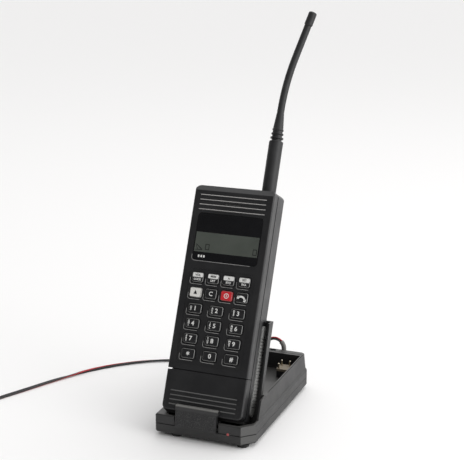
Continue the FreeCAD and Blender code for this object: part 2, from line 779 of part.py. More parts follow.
def make_battery_case():
    """Make the battery pack's case with a ribbed grip down each side and two charging pads' seats."""
    body = new_body("battery_case", "phone")
    outline = new_sketch(body, "YZ_Plane", "SideView")
    add_rectangle(outline, "battery_front", "0", "battery_back", "battery_top")
    last = pad(body, outline, "Block", "battery_width", symmetric=True)

    def back_edge(point):
        return near(point.y, "battery_back") and near(abs(point.x), "battery_width / 2")
    fillet(body, "BackEdges", last, back_edge, "edge_radius", UP_AXIS)
    inside = new_sketch(body, "XZ_Plane", "Inside", "-(battery_front + battery_wall)")
    side = "(battery_width / 2 - battery_wall)"
    add_rectangle(inside, "-" + side, "battery_wall * 2", side, "battery_top - battery_wall")
    pocket(body, inside, "Hollow", "battery_back - battery_front - 2 * battery_wall")
    for name, lift, backward in (("Left", "-(battery_width / 2)", True), ("Right", "battery_width / 2", False)):
        grip = new_sketch(body, "YZ_Plane", name + "GripOutline", lift)
        add_round_rectangle(grip, "(grip_front + grip_back) / 2", "(grip_bottom + grip_top) / 2",
                            "grip_back - grip_front", "grip_top - grip_bottom", "(grip_back - grip_front) * 0.42")
        pad(body, grip, name + "Grip", "grip_proud", reverse=backward)
        groove = new_sketch(body, "XZ_Plane", name + "GrooveOutline", "-(grip_front - 0.5)")
        outer = "(battery_width / 2 + grip_proud)"
        sign = "-" if name == "Left" else ""
        low = "(grip_bottom + 7.5)"
        tip = outer + " - grip_rib_deep"
        add_polygon(groove, [(sign + "(%s + 0.2)" % outer, low), (sign + "(%s)" % tip, low + " + grip_rib_width / 2"),
                             (sign + "(%s + 0.2)" % outer, low + " + grip_rib_width")])
        cut = pocket(body, groove, name + "Groove", "grip_back - grip_front + 1")
        repeat(body, name + "Grooves", [cut], [(groove, "V_Axis", "grip_rib_pitch", "grip_rib_count")])
    for name, sign in (("Left", "-"), ("Right", "")):
        seat = new_sketch(body, "XY_Plane", name + "PadSeat")
        add_round_rectangle(seat, sign + "pad_pitch", "(battery_front + battery_back) / 2", "pad_size + 0.1",
                            "pad_size + 0.1", "0.6")
        pocket(body, seat, name + "Seat", "pad_thick", reverse=True)
    return body


def make_battery_inside():
    """Make the row of cells in the battery and the charging pads under it."""
    cells = []
    middle = "(battery_front + battery_back) / 2"
    step = "((battery_width - 2 * battery_wall) / cell_count)"
    for index in range(int(amount_of("cell_count"))):
        x = "%s * (%d - (cell_count - 1) / 2)" % (step, index)
        sizes = {"Radius": "cell_radius", "Height": "cell_long"}
        cells.append(primitive("Part::Cylinder", "Cell%d" % (index + 1), sizes, (x, middle, "battery_wall * 2 + 0.3")))
    group("battery_cells", "phone", cells)
    pads = []
    for index, sign in enumerate(("-", "")):
        sizes = {"Length": "pad_size - 0.4", "Width": "pad_size - 0.4", "Height": "pad_thick - 0.05"}
        spot = (sign + "pad_pitch - (pad_size - 0.4) / 2", middle + " - (pad_size - 0.4) / 2", "0")
        pads.append(primitive("Part::Box", "Pad%d" % (index + 1), sizes, spot))
    group("charge_pads", "phone", pads)


def case_screw_spots():
    """List the casing screws' (x, z) places."""
    return [(sign + "case_screw_x", z) for sign in ("-", "") for z in ("case_screw_low", "case_screw_mid",
                                                                      "case_screw_high")]


def make_housing_screws():
    """Make the six screws that draw the casing halves together, each a head on a shank."""
    screws = []
    seat = "front_depth + groove_width - 0.1"
    for index, (x, z) in enumerate(case_screw_spots()):
        shank = primitive("Part::Cylinder", "CaseShank%d" % index,
                          {"Radius": "case_screw_radius", "Height": "case_screw_long"}, (x, seat, z), BACKWARD)
        head = primitive("Part::Cylinder", "CaseHead%d" % index,
                         {"Radius": "case_screw_radius * 2", "Height": "1.2"}, (x, seat + " - 1.2", z), BACKWARD)
        screw = doc.addObject("Part::Fuse", "CaseScrew%d" % index)
        screw.Base = shank
        screw.Tool = head
        screws.append(screw)
    return group("housing_screws", "phone", screws)


# ------------------------------------------------------------------ aerial

def aerial_profile(body, name, points):
    """Turn a half section about the aerial's axis; points are (radius, height above the casing)."""
    sketch = new_sketch(body, "XZ_Plane", name + "Section", "-aerial_depth")
    outline = [("aerial_x + (%s)" % r, "phone_height + fit_gap + (%s)" % z) for r, z in points]
    add_polygon(sketch, outline)
    axis = sketch.addGeometry(Part.LineSegment(Vector(amount_of("aerial_x"), 0, 0),
                                               Vector(amount_of("aerial_x"), amount_of("phone_height"), 0)), True)
    hold(sketch, axis, 1, "aerial_x", "0")
    hold(sketch, axis, 2, "aerial_x", "phone_height")
    feature = body.newObject("PartDesign::Revolution", name)
    feature.Profile = sketch
    feature.ReferenceAxis = (sketch, ["Axis0"])
    feature.Angle = 360
    doc.recompute()
    return feature


def make_aerial():
    """Make the screw-in aerial: ribbed collar, sleeve, tapered neck, curved whip and tip cap."""
    sleeve = new_body("aerial_sleeve", "phone")
    ring = "ring_zone / 3"
    points = [("stud_radius - 0.6", "0"), ("sleeve_radius - 0.5", "0"), ("sleeve_radius", "0.8"),
              ("sleeve_radius", "sleeve_tall - 0.6"), ("sleeve_radius - 0.6", "sleeve_tall")]
    for index in range(3):
        low = "sleeve_tall + %s * %d" % (ring, index)
        radius = "ring_low_radius + (ring_high_radius - ring_low_radius) * %.2f" % (index / 2)
        points += [("cone_low_radius - 0.2", low), ("cone_low_radius - 0.2", low + " + %s * 0.45" % ring),
                   (radius, low + " + %s * 0.6" % ring), (radius, low + " + %s * 0.9" % ring)]
    top = "sleeve_tall + ring_zone"
    points += [("cone_low_radius", top), ("whip_radius + 0.15", top + " + cone_tall"),
               ("whip_radius + 0.1", top + " + cone_tall"), ("whip_radius + 0.1", "12.2"),
               ("stud_radius - 0.6", "12.2")]
    aerial_profile(sleeve, "Sleeve", points)
    stud = new_body("aerial_stud", "phone")
    aerial_profile(stud, "Stud", [("0", "-stud_long"), ("stud_radius - 0.5", "-stud_long"),
                                  ("stud_radius", "-stud_long + 0.5"), ("stud_radius", "-fit_gap - 0.1"),
                                  ("stud_radius - 0.7", "-fit_gap - 0.1"), ("stud_radius - 0.7", "12"), ("0", "12")])
    make_whip()


def whip_path():
    """Return the whip's centre line as an edge list: straight, one gentle arc, straight."""
    start = Vector(amount_of("aerial_x"), amount_of("aerial_depth"),
                   amount_of("phone_height + fit_gap + 12.4"))
    straight = amount_of("sleeve_tall + ring_zone + cone_tall + whip_straight") - 12.4
    bend = math.radians(amount_of("whip_bend"))
    radius = amount_of("whip_bend_radius")
    knee = start + UP_AXIS * straight
    centre = knee + ACROSS_AXIS * radius

    def on_arc(angle):
        return centre + Vector(-radius * math.cos(angle), 0, radius * math.sin(angle))
    heading = Vector(math.sin(bend), 0, math.cos(bend))
    last = on_arc(bend)
    tip = last + heading * amount_of("whip_end")
    edges = [Part.makeLine(start, knee), Part.Arc(knee, on_arc(bend / 2), last).toShape(), Part.makeLine(last, tip)]
    return edges, tip, heading


def make_whip():
    """Sweep the flexible whip along its curve and turn the rounded cap on its end."""
    edges, tip, heading = whip_path()
    section = Part.Wire(Part.makeCircle(amount_of("whip_radius"), edges[0].Vertexes[0].Point, UP_AXIS))
    whip = doc.addObject("Part::Feature", "Whip")
    whip.Shape = Part.Wire(edges).makePipeShell([section], True, False)
    keep(whip, "aerial_whip", "phone")
    radius, tall = amount_of("tip_radius"), amount_of("tip_tall")
    cap = Part.makeCylinder(radius, tall, tip, heading)
    cap = cap.makeFillet(radius * 0.45, cap.Edges[0:1] + cap.Edges[2:3])
    tip_cap = doc.addObject("Part::Feature", "TipCap")
    tip_cap.Shape = cap
    keep(tip_cap, "aerial_tip", "phone")


def make_antenna_socket():
    """Make the threaded bush inside the casing that takes the aerial's stud."""
    body = new_body("antenna_socket", "phone")
    low = "-stud_long - 1.5"
    high = "-(back_slope + case_wall + 2 + 2 * fit_gap)"
    aerial_profile(body, "Bush", [("stud_radius + stud_gap", low), ("socket_radius", low),
                                  ("socket_radius", high), ("stud_radius + stud_gap", high)])
    return body


# ------------------------------------------------------------------ cradle

def add_base_outline(sketch, inset, rear_cut=None):
    """Draw the cradle's plan pulled in by an inset: right front corner cut off, and both rear ones if asked."""
    cut = "front_chamfer + (%s) * 0.414" % inset
    left, right = "((%s) - base_left)" % inset, "(base_right - (%s))" % inset
    front, back = "(%s)" % inset, "(base_long - (%s))" % inset
    narrow = "(base_right - front_chamfer - (%s) * 0.414)" % inset
    rear = [(right, back), (left, back)]
    if rear_cut:
        rear = [(right, back + " - " + rear_cut), (right + " - " + rear_cut, back),
                (left + " + " + rear_cut, back), (left, back + " - " + rear_cut)]
    return add_polygon(sketch, [(left, front), (narrow, front), (right, cut)] + rear)


def rear_corner(point):
    return near(point.y, "base_long") and (near(point.x, "-base_left") or near(point.x, "base_right"))


def front_corner(point):
    return near(point.y, "0") and near(point.x, "-base_left")


def screw_spots():
    """List the base screws' (x, y) places."""
    return [(sign + x, y) for x, y in (("screw_front_x", "screw_front_y"), ("screw_rear_x", "screw_rear_y"))
            for sign in ("-", "")]


def make_lower_shell():
    body = new_body("lower_shell", "cradle")
    outline = new_sketch(body, "XY_Plane", "Plan", "foot_tall")
    add_base_outline(outline, "0")
    last = pad(body, outline, "Block", "parting_z - parting_gap / 2 - foot_tall")
    last = fillet(body, "RearCorners", last, rear_corner, "rear_radius", UP_AXIS)
    last = fillet(body, "FrontCorner", last, front_corner, "front_radius", UP_AXIS)
    last = fillet(body, "BottomEdge", last, lambda point: near(point.z, "foot_tall"), "base_edge_radius")
    chamfer(body, "SeamEdge", last, lambda point: near(point.z, "parting_z - parting_gap / 2"), "parting_chamfer")
    inside = new_sketch(body, "XY_Plane", "InsidePlan", "foot_tall + base_wall")
    add_base_outline(inside, "base_wall", "rear_radius * 0.6")
    pocket(body, inside, "Hollow", "parting_z - foot_tall", reverse=True)
    for index, (x, y) in enumerate(board_posts()):
        post = new_sketch(body, "XY_Plane", "PostPlan%d" % index, "foot_tall + base_wall - 0.1")
        add_circle(post, x, y, "post_radius")
        pad(body, post, "Post%d" % index, "post_tall + 0.1")
    for index, (x, y) in enumerate(screw_spots()):
        bore = new_sketch(body, "XY_Plane", "ScrewPlan%d" % index, "foot_tall - 0.5")
        add_circle(bore, x, y, "screw_radius + 0.15")
        pocket(body, bore, "ScrewHole%d" % index, "base_wall + 1", reverse=True)
        sink = new_sketch(body, "XY_Plane", "HeadPlan%d" % index, "foot_tall - 0.5")
        add_circle(sink, x, y, "screw_head_radius + 0.2")
        pocket(body, sink, "HeadHole%d" % index, "base_wall / 2 + 0.5", reverse=True)
    lamp = new_sketch(body, "XZ_Plane", "LampOutline", "1")
    add_circle(lamp, "led_x", "led_z", "led_radius + 0.15")
    pocket(body, lamp, "LampNotch", "base_wall + 2")
    return body


def board_posts():
    """List the (x, y) places of the charger board's four posts."""
    return [(sign + "(charger_wide / 2 - 4)", y) for sign in ("-", "")
            for y in ("charger_front_y + 4", "charger_front_y + charger_long - 4")]


def slope_wall_front(body):
    """Slope the raised wall's front end down to the lip and round its shoulder."""
    side = new_sketch(body, "YZ_Plane", "WallSlopeOutline")
    add_polygon(side, [("-5", "ledge_z"), ("wall_foot_y", "ledge_z"), ("wall_top_y", "rim_z"),
                       ("wall_top_y", "rim_z + 5"), ("-5", "rim_z + 5")])
    cut = pocket(body, side, "WallSlope", "2 * base_right + 4", symmetric=True)

    def shoulder(point):
        return near(point.y, "wall_top_y") and near(point.z, "rim_z")
    return fillet(body, "WallShoulder", cut, shoulder, "wall_shoulder")


def cut_loft(body, name, low_z, low_points, high_z, high_points):
    """Cut a straight-sided hollow between two outlines with as many corners."""
    before = body.Shape.Volume
    sections = []
    for suffix, lift, points in (("Low", low_z, low_points), ("High", high_z, high_points)):
        section = new_sketch(body, "XY_Plane", name + suffix, lift)
        sections.append(add_polygon(section, points))
    feature = body.newObject("PartDesign::SubtractiveLoft", name)
    feature.Profile = sections[0]
    feature.Sections = [sections[1]]
    feature.Ruled = True
    settle(feature)
    if feature.Shape.Volume >= before - 1e-6:
        raise ValueError("%s takes nothing from %s" % (name, body.Label))
    return feature


def behind_phone(depth, level):
    """Give the y expression, at a height, of the plane at a depth behind the telephone's face."""
    return "(dock_y + (%s) / cos(lean) + ((%s) - dock_z) * tan(lean))" % (depth, level)


def well_section(level):
    """Give the well's outline at a height: the front wall, both sides and the rest's leaning face."""
    pull = "ledge_width - side_wall - (%s - ledge_z) * tan(draft)" % level
    left, right = "(base_left - %s)" % pull, "(base_right - %s)" % pull
    rear = behind_phone("phone_depth + rest_gap", level)
    front = "base_wall"
    cut = "(front_chamfer + base_wall)"
    narrow = "(%s - front_chamfer)"
    return [("-" + left, cut), ("-" + narrow % left, front), (narrow % right, front), (right, cut),
            (right, rear), ("-" + left, rear)]


def make_upper_shell():
    body = new_body("upper_shell", "cradle")
    low = "parting_z + parting_gap / 2"
    outline = new_sketch(body, "XY_Plane", "Plan", low)
    add_base_outline(outline, "0")
    last = pad(body, outline, "Skirt", "ledge_z - (%s)" % low)
    last = fillet(body, "RearCorners", last, rear_corner, "rear_radius", UP_AXIS)

    def front_lip(point):
        return near(point.z, "ledge_z") and near(point.y, "0")
    last = fillet(body, "LipEdge", last, front_lip, "1.1")
    last = fillet(body, "FrontCorner", last, front_corner, "front_radius", UP_AXIS)
    chamfer(body, "SeamEdge", last, lambda point: near(point.z, low), "parting_chamfer")
    raised = new_sketch(body, "XY_Plane", "RaisedPlan", "ledge_z")
    add_round_rectangle(raised, "(base_right - base_left) / 2", "base_long / 2",
                        "base_right + base_left - 2 * ledge_width", "base_long - 2 * ledge_width",
                        "rear_radius - ledge_width")
    pad(body, raised, "RaisedBlock", "rim_z - ledge_z", taper="-draft")
    slope_wall_front(body)
    above = "rim_z + 1"
    cut_loft(body, "Well", "well_floor_z", well_section("well_floor_z"), above, well_section(above))
    cut_loft(body, "Bay", "bay_floor_z", bay_section("bay_floor_z"), above, bay_section(above))
    cut_bay_details(body)
    cut_gland(body)
    add_backrest(body)
    cut_catch_slot(body)
    add_shelf(body)
    cut_underside(body)
    return body


BAY_LEFT = "(base_left - bay_wall)"
BAY_RIGHT = "(base_right - bay_wall)"
BLOCK_X = "(base_right - block_side)"


def bay_section(level):
    """Give the spare-battery bay's outline at a height, its front wall leaning with the rest."""
    front = "(bay_front_y + (%s - bay_floor_z) / (rim_z - bay_floor_z) * bay_lean)" % level
    return [("-" + BAY_LEFT, front), (BAY_RIGHT, front), (BAY_RIGHT, "bay_rear_y"), ("-" + BAY_LEFT, "bay_rear_y")]


def cut_bay_details(body):
    """Cut the groove round the bay's rim, the step in its floor and the notch in its rear rim."""
    groove = new_sketch(body, "XY_Plane", "RimGroovePlan", "rim_z + 1")
    inner, outer = "(%s + rim_groove_side)", "(%s + rim_groove_side + rim_groove)"
    left_in, left_out = "-" + inner % BAY_LEFT, "-" + outer % BAY_LEFT
    right_in, right_out = inner % BAY_RIGHT, outer % BAY_RIGHT
    near_rear, far_rear = "(bay_rear_y + rim_groove_rear)", "(bay_rear_y + rim_groove_rear + rim_groove)"
    front = "(bay_front_y + bay_lean)"
    add_polygon(groove, [(left_out, front), (left_in, front), (left_in, near_rear), (right_in, near_rear),
                         (right_in, front), (right_out, front), (right_out, far_rear), (left_out, far_rear)])
    pocket(body, groove, "RimGroove", "rim_groove_deep + 1")
    step = new_sketch(body, "XY_Plane", "BayStepPlan", "bay_floor_z + 0.5")
    add_rectangle(step, "1 - " + BAY_LEFT, "bay_step_y", BAY_RIGHT + " - 1", "bay_rear_y - 0.5")
    pocket(body, step, "BayStep", "bay_step + 0.5")
    notch = new_sketch(body, "XY_Plane", "NotchPlan", "rim_z + 1")
    notch_y = "(bay_rear_y + rim_groove_rear + rim_groove + 0.8)"
    add_rectangle(notch, "notch_x - notch_wide / 2", notch_y, "notch_x + notch_wide / 2", notch_y + " + notch_long")
    pocket(body, notch, "RimNotch", "notch_deep + 1")


def cut_gland(body):
    """Cut the seat of the lead's sleeve in the rear wall and the duct from it to the charger's board."""
    gland = new_sketch(body, "XZ_Plane", "GlandOutline", "-(base_long + 1)")
    add_circle(gland, lead_start(0), "gland_z", "sleeve_outside + 0.02")
    pocket(body, gland, "GlandSeat", "1 + ledge_width + (gland_z - ledge_z) * tan(draft) + gland_deep", reverse=True)
    duct = new_sketch(body, "XY_Plane", "DuctPlan", "parting_z - 1")
    add_circle(duct, lead_start(0), "duct_y", "lead_radius + 0.1")
    pocket(body, duct, "LeadDuct", "gland_z - parting_z + 1", reverse=True)


def lead_start(index):
    """Return one coordinate of the lead's first point."""
    return str(LEAD_POINTS[0][index])


def add_backrest(body):
    """Add the leaning backrest with its two side wings, then clear the telephone's space between them."""
    side = new_sketch(body, "YZ_Plane", "BackrestOutline")
    rear = "phone_depth + rest_gap + rest_thick"
    add_polygon(side, [("wing_low_y", "wing_low_z"), ("wing_top_y", "wing_top_z"),
                       (behind_phone(rear, "wing_top_z - 1.2"), "wing_top_z - 1.2"),
                       (behind_phone(rear, "wing_low_z"), "wing_low_z")])
    pad(body, side, "Backrest", "2 * rest_half_width", symmetric=True)
    space = new_sketch(body, "YZ_Plane", "TelephoneSpaceOutline")
    face = "phone_depth + rest_gap"
    add_polygon(space, [("wing_low_y - 4", "wing_low_z - 1"), ("wing_low_y - 4", "wing_top_z + 2"),
                        (behind_phone(face, "wing_top_z + 2"), "wing_top_z + 2"),
                        (behind_phone(face, "wing_low_z - 1"), "wing_low_z - 1")])
    pocket(body, space, "TelephoneSpace", "2 * (rest_half_width - wing_wall)", symmetric=True)


def cut_catch_slot(body):
    """Open the front lip for the catch and add the two bosses that hold its pin."""
    half = "(catch_width / 2 + catch_side_gap)"
    slot = new_sketch(body, "XZ_Plane", "CatchSlotOutline", "1")
    add_rectangle(slot, "catch_x - " + half, "parting_z - 1", "catch_x + " + half, "ledge_z + 1")
    pocket(body, slot, "CatchSlot", "base_wall + 2")
    for name, sign in (("Left", "-"), ("Right", "+")):
        boss = new_sketch(body, "YZ_Plane", name + "PinBossOutline",
                          "catch_x %s (%s + pin_boss_wide / 2)" % (sign, half))
        add_rectangle(boss, "0.4", "parting_z + parting_gap", "pin_boss_back", "ledge_z - 1.2")
        pad(body, boss, name + "PinBoss", "pin_boss_wide", symmetric=True)
    bore = new_sketch(body, "YZ_Plane", "PinBoreOutline", "catch_x")
    add_circle(bore, "catch_pin_y", "catch_pin_z", "catch_pin_radius + 0.02")
    pocket(body, bore, "PinBore", "catch_width + 2 * catch_side_gap + 2 * pin_boss_wide + 8", symmetric=True)
    lamp = new_sketch(body, "XZ_Plane", "LampOutline", "1")
    add_circle(lamp, "led_x", "led_z", "led_radius + 0.15")
    pocket(body, lamp, "LampNotch", "base_wall + 2")


def add_shelf(body):
    """Add the leaning shelf that carries the telephone, joined to the foot of the rest."""
    side = new_sketch(body, "YZ_Plane", "ShelfSection", "dock_x")
    face = "(phone_depth + rest_gap)"
    back = "(phone_depth + rest_gap + shelf_thick)"
    low = "-shelf_gap - shelf_thick"
    add_polygon(side, [tilted("shelf_front", "-shelf_gap"), tilted(face, "-shelf_gap"),
                       tilted(face, "shelf_rise"), tilted(back, "shelf_rise"),
                       tilted(back, low), tilted("shelf_front", low)])
    pad(body, side, "Shelf", "phone_width - 2", symmetric=True)


def cut_underside(body):
    """Hollow the shell under the bay for the charger board and add the screw bosses."""
    under = new_sketch(body, "XY_Plane", "UndersidePlan", "parting_z - 1")
    left, right = "(base_wall - base_left)", "(base_right - base_wall)"
    cut = "rear_radius * 0.6"
    back = "(base_long - base_wall - 1)"
    add_polygon(under, [(left, "hollow_front_y"), (right, "hollow_front_y"), (right, back + " - " + cut),
                        (right + " - " + cut, back), (left + " + " + cut, back), (left, back + " - " + cut)])
    pocket(body, under, "Underside", "bay_floor_z - bay_step - floor_thick - parting_z + 1", reverse=True)
    for index, (x, y) in enumerate(screw_spots()):
        boss = new_sketch(body, "XY_Plane", "ScrewBossPlan%d" % index, "foot_tall + base_wall + 0.2")
        add_circle(boss, x, y, "screw_boss_radius")
        pad(body, boss, "ScrewBoss%d" % index, "bay_floor_z - bay_step - 1 - foot_tall - base_wall")
        bore = new_sketch(body, "XY_Plane", "ScrewBorePlan%d" % index, "foot_tall + base_wall - 1")
        add_circle(bore, x, y, "screw_radius + 0.05")
        pocket(body, bore, "ScrewBore%d" % index, "screw_long", reverse=True)


def make_front_catch():
    """Make the sprung front catch: a leaning plate, a rounded bar over the casing's foot, and pin bosses."""
    body = new_body("front_catch", "cradle")
    side = new_sketch(body, "YZ_Plane", "PlateSection", "catch_x")

    def front(z):
        return "(catch_front_y + (%s - catch_bottom_z) * tan(catch_lean))" % z
    bar_low, bar_high = "catch_bar_z", "(catch_bar_z + catch_bar_tall)"
    add_polygon(side, [(front("catch_bottom_z"), "catch_bottom_z"), (front(bar_low), bar_low + " + 0.5"),
                       (front(bar_low) + " + catch_thick", bar_low + " + 0.5"),
                       (front("catch_bottom_z") + " + catch_thick", "catch_bottom_z")])
    pad(body, side, "Plate", "catch_width", symmetric=True)
    for name, sign in (("Left", "-"), ("Right", "+")):
        cheek = new_sketch(body, "YZ_Plane", name + "CheekSection",
                           "catch_x %s (catch_width - catch_cheek) / 2" % sign)
        add_polygon(cheek, [(front("catch_bottom_z"), "catch_bottom_z"), (front(bar_low), bar_low + " + 0.5"),
                            ("catch_cheek_back", bar_low + " + 0.5"), ("catch_cheek_back", "catch_bottom_z")])
        pad(body, cheek, name + "Cheek", "catch_cheek", symmetric=True)
    bar = new_sketch(body, "YZ_Plane", "BarSection", "catch_x + catch_bar_side / 2")
    add_polygon(bar, [(front(bar_low) + " - 0.5", bar_low), (front(bar_low) + " - 0.5", bar_high),
                      (front(bar_low) + " + catch_bar_reach", bar_high),
                      (front(bar_low) + " + catch_bar_reach - 1.2", bar_low)])
    last = pad(body, bar, "Bar", "catch_width + catch_bar_side", symmetric=True)

    def bar_top(point):
        return near(point.z, bar_high)
    fillet(body, "BarEdges", last, bar_top, "catch_bar_radius", ACROSS_AXIS)
    boss = new_sketch(body, "YZ_Plane", "BossSection", "catch_x")
    add_circle(boss, "catch_pin_y", "catch_pin_z", "catch_boss_radius")
    pad(body, boss, "Boss", "catch_width - 1", symmetric=True)
    web = new_sketch(body, "YZ_Plane", "WebSection", "catch_x")
    add_rectangle(web, front("catch_pin_z") + " + 0.5", "catch_pin_z - 1.6", "catch_pin_y", "catch_pin_z + 1.6")
    pad(body, web, "Web", "catch_width - 1", symmetric=True)
    bore = new_sketch(body, "YZ_Plane", "BoreSection", "catch_x")
    add_circle(bore, "catch_pin_y", "catch_pin_z", "catch_pin_radius + catch_pin_gap")
    pocket(body, bore, "Bore", "catch_width + 2", symmetric=True)
    return body


SIDEWAYS = ("vector(0;1;0)", "90")
UPRIGHT = ("vector(0;0;1)", "0")


def make_cradle_fittings():
    """Make the catch's pin and spring, lamp, feet, screws and the charger's board."""
    half = "(catch_width / 2 + catch_side_gap + pin_boss_wide - 0.2)"
    pin = primitive("Part::Cylinder", "CatchPin", {"Radius": "catch_pin_radius", "Height": "2 * %s" % half},
                    ("catch_x - " + half, "catch_pin_y", "catch_pin_z"), SIDEWAYS)
    group("catch_pin", "cradle", [pin])
    lens = primitive("Part::Cylinder", "LampBody",
                     {"Radius": "led_radius", "Height": "base_wall + led_flange + 0.2"},
                     ("led_x", "-0.2", "led_z"), BACKWARD)
    flange = primitive("Part::Cylinder", "LampFlange", {"Radius": "led_radius + 0.5", "Height": "led_flange"},
                       ("led_x", "base_wall", "led_z"), BACKWARD)
    fuse("charge_led", "cradle", [lens, flange])
    make_feet()
    screws = []
    for index, (x, y) in enumerate(screw_spots()):
        head_z = "foot_tall + 0.1"
        head = primitive("Part::Cylinder", "BaseHead%d" % index, {"Radius": "screw_head_radius", "Height": "base_wall / 2 - 0.2"},
                         (x, y, head_z), UPRIGHT)
        shank = primitive("Part::Cylinder", "BaseShank%d" % index, {"Radius": "screw_radius", "Height": "screw_long"},
                          (x, y, head_z), UPRIGHT)
        screw = doc.addObject("Part::Fuse", "BaseScrew%d" % index)
        screw.Base = head
        screw.Tool = shank
        screws.append(screw)
    group("base_screws", "cradle", screws)
    board = new_body("charger_board", "cradle")
    plan = new_sketch(board, "XY_Plane", "Plan", "foot_tall + base_wall + post_tall + 0.1")
    add_rectangle(plan, "-charger_wide / 2", "charger_front_y", "charger_wide / 2", "charger_front_y + charger_long")
    pad(board, plan, "Board", "board_thick")


def make_feet():
    """Make the four rubber feet, each a tapered disc under the lower shell."""
    feet = []
    spots = [(x, y) for x in ("foot_left_x", "foot_right_x") for y in ("foot_front_y", "foot_rear_y")]
    for index, (x, y) in enumerate(spots):
        foot = doc.addObject("Part::Cone", "Foot%d" % index)
        bind(foot, "Radius1", "foot_radius - foot_grip")
        bind(foot, "Radius2", "foot_radius")
        bind(foot, "Height", "foot_tall - 0.02")
        bind(foot, "Placement", "placement(vector(%s; %s; 0); rotation(vector(0;0;1); 0))" % (x, y))
        feet.append(foot)
    return group("rubber_feet", "cradle", feet)


def make_contact_block():
    """Make the bay's contact block: a body with a raised rim and three bores for its sprung pins."""
    body = new_body("battery_contact_block", "cradle")
    floor = "(bay_floor_z - bay_step + 0.1)"
    plan = new_sketch(body, "XY_Plane", "Plan", floor)
    add_round_rectangle(plan, BLOCK_X, "block_front_y + block_long / 2", "block_wide", "block_long", "1.0")
    pad(body, plan, "Block", "block_top_z - " + floor)
    for index, (x, y) in enumerate(pin_spots()):
        bore = new_sketch(body, "XY_Plane", "PinBore%d" % index, "block_top_z + 1")
        add_circle(bore, x, y, "pin_radius + pin_gap")
        pocket(body, bore, "Bore%d" % index, "block_top_z - %s" % floor)
    return body


def pin_spots():
    """List the three charging pins' (x, y) places: two at the left of the block, one at the right rear."""
    left, right = BLOCK_X + " - block_wide / 2 + pin_inset", BLOCK_X + " + block_wide / 2 - pin_inset"
    front, back = "block_front_y + pin_inset", "block_front_y + block_long - pin_inset"
    return [(left, front), (left, back), (right, back)]


def make_contact_pins():
    """Make the three round-ended charging pins, each a sub-part of its own because each slides."""
    for index, (x, y) in enumerate(pin_spots()):
        low = "(bay_floor_z - bay_step + 0.1 + 1.2 + pin_travel)"
        body = new_body("contact_pin_%d" % (index + 1), "cradle")
        plan = new_sketch(body, "XY_Plane", "Plan", low)
        add_circle(plan, x, y, "pin_radius")
        last = pad(body, plan, "Pin", "pin_tip_z - " + low)
        tip = [edge for edge in range(1, len(last.Shape.Edges) + 1)
               if near(last.Shape.Edges[edge - 1].BoundBox.ZMin, "pin_tip_z")]
        dome = body.newObject("PartDesign::Fillet", "Dome")
        dome.Base = (last, ["Edge%d" % tip[0]])
        bind(dome, "Radius", "pin_radius * 0.8")
        settle(dome)


def make_phone_contacts():
    """Make the two spring-strip contacts that lie on the shelf under the telephone's pads."""
    strips = []
    for index, sign in enumerate(("-", "")):
        x = sign + "pad_pitch - pad_size / 2"
        sizes = {"Length": "pad_size", "Width": "14", "Height": "contact_thick"}
        strips.append(primitive("Part::Box", "Strip%d" % index, sizes, (x, "battery_front - 4", "-shelf_gap + 0.01")))
    return group("phone_contacts", "phone", strips)


def make_catch_spring():
    """Make the leaf spring that pushes the catch's bar back to the casing."""
    body = new_body("catch_spring", "cradle")
    side = new_sketch(body, "YZ_Plane", "LeafSection", "catch_x")
    low = "parting_z + parting_gap + 0.2"
    y = "(catch_pin_y + catch_boss_radius + 0.35)"
    add_polygon(side, [(y, low), (y + " + 0.4", low), (y + " + 0.4", "ledge_z + 1"), (y, "ledge_z + 1")])
    pad(body, side, "Leaf", "catch_width + 2 * catch_side_gap", symmetric=True)
    return body


# ------------------------------------------------------------------ power lead

def shifted(points):
    """Place points given from the base's rear face."""
    rear = amount_of("base_long - set_back")
    return [Vector(x, rear + y, z) for x, y, z in points]


def route_edges(points):
    """Join straight runs by tangent arcs as large as the two runs beside each corner allow."""
    edges, radii = [], []
    start = points[0]
    for before, corner, after in zip(points, points[1:], points[2:]):
        incoming, outgoing = corner - before, after - corner
        turn = incoming.getAngle(outgoing)
        reach = 0.45 * min(incoming.Length, outgoing.Length)
        radii.append(reach / math.tan(turn / 2))
        entry = corner - incoming * (reach / incoming.Length)
        leave = corner + outgoing * (reach / outgoing.Length)
        inward = (entry - corner).normalize() + (leave - corner).normalize()
        middle = corner + inward.normalize() * (radii[-1] / math.cos(turn / 2) - radii[-1])
        edges += [Part.LineSegment(start, entry).toShape(), Part.Arc(entry, middle, leave).toShape()]
        start = leave
    edges.append(Part.LineSegment(start, points[-1]).toShape())
    return edges, radii


def sweep_round(edges, radius):
    path = Part.Wire(edges)
    start = edges[0].Vertexes[0].Point
    heading = edges[0].tangentAt(edges[0].FirstParameter)
    section = Part.Face(Part.Wire(Part.makeCircle(radius, start, heading)))
    return path.makePipe(section), path.Length


def make_feature(label, shape):
    item = doc.addObject("Part::Feature", label)
    item.Shape = shape
    item.Label = label
    NODES.append(item)
    return item


def make_strain_relief():
    """Make the sleeve that holds the lead: a stub in the rear wall, turned up and over with the lead."""
    x, y, z = LEAD_POINTS[0]
    gland_z = amount_of("gland_z")
    seat_y = -amount_of("ledge_width + (gland_z - ledge_z) * tan(draft) + gland_deep")
    stub_points = [(x, seat_y, gland_z), (x, y, gland_z), (x, y, z)]
    stub_edges, _ = route_edges(shifted(stub_points))
    lead_edges, _ = route_edges(shifted(LEAD_POINTS))
    radius = amount_of("sleeve_outside")
    stub, _ = sweep_round(stub_edges, radius)
    around, _ = sweep_round(lead_edges[:3], radius)
    bore, _ = sweep_round(lead_edges[:3], amount_of("lead_radius"))
    return make_feature("strain_relief", stub.fuse(around.cut(bore)))


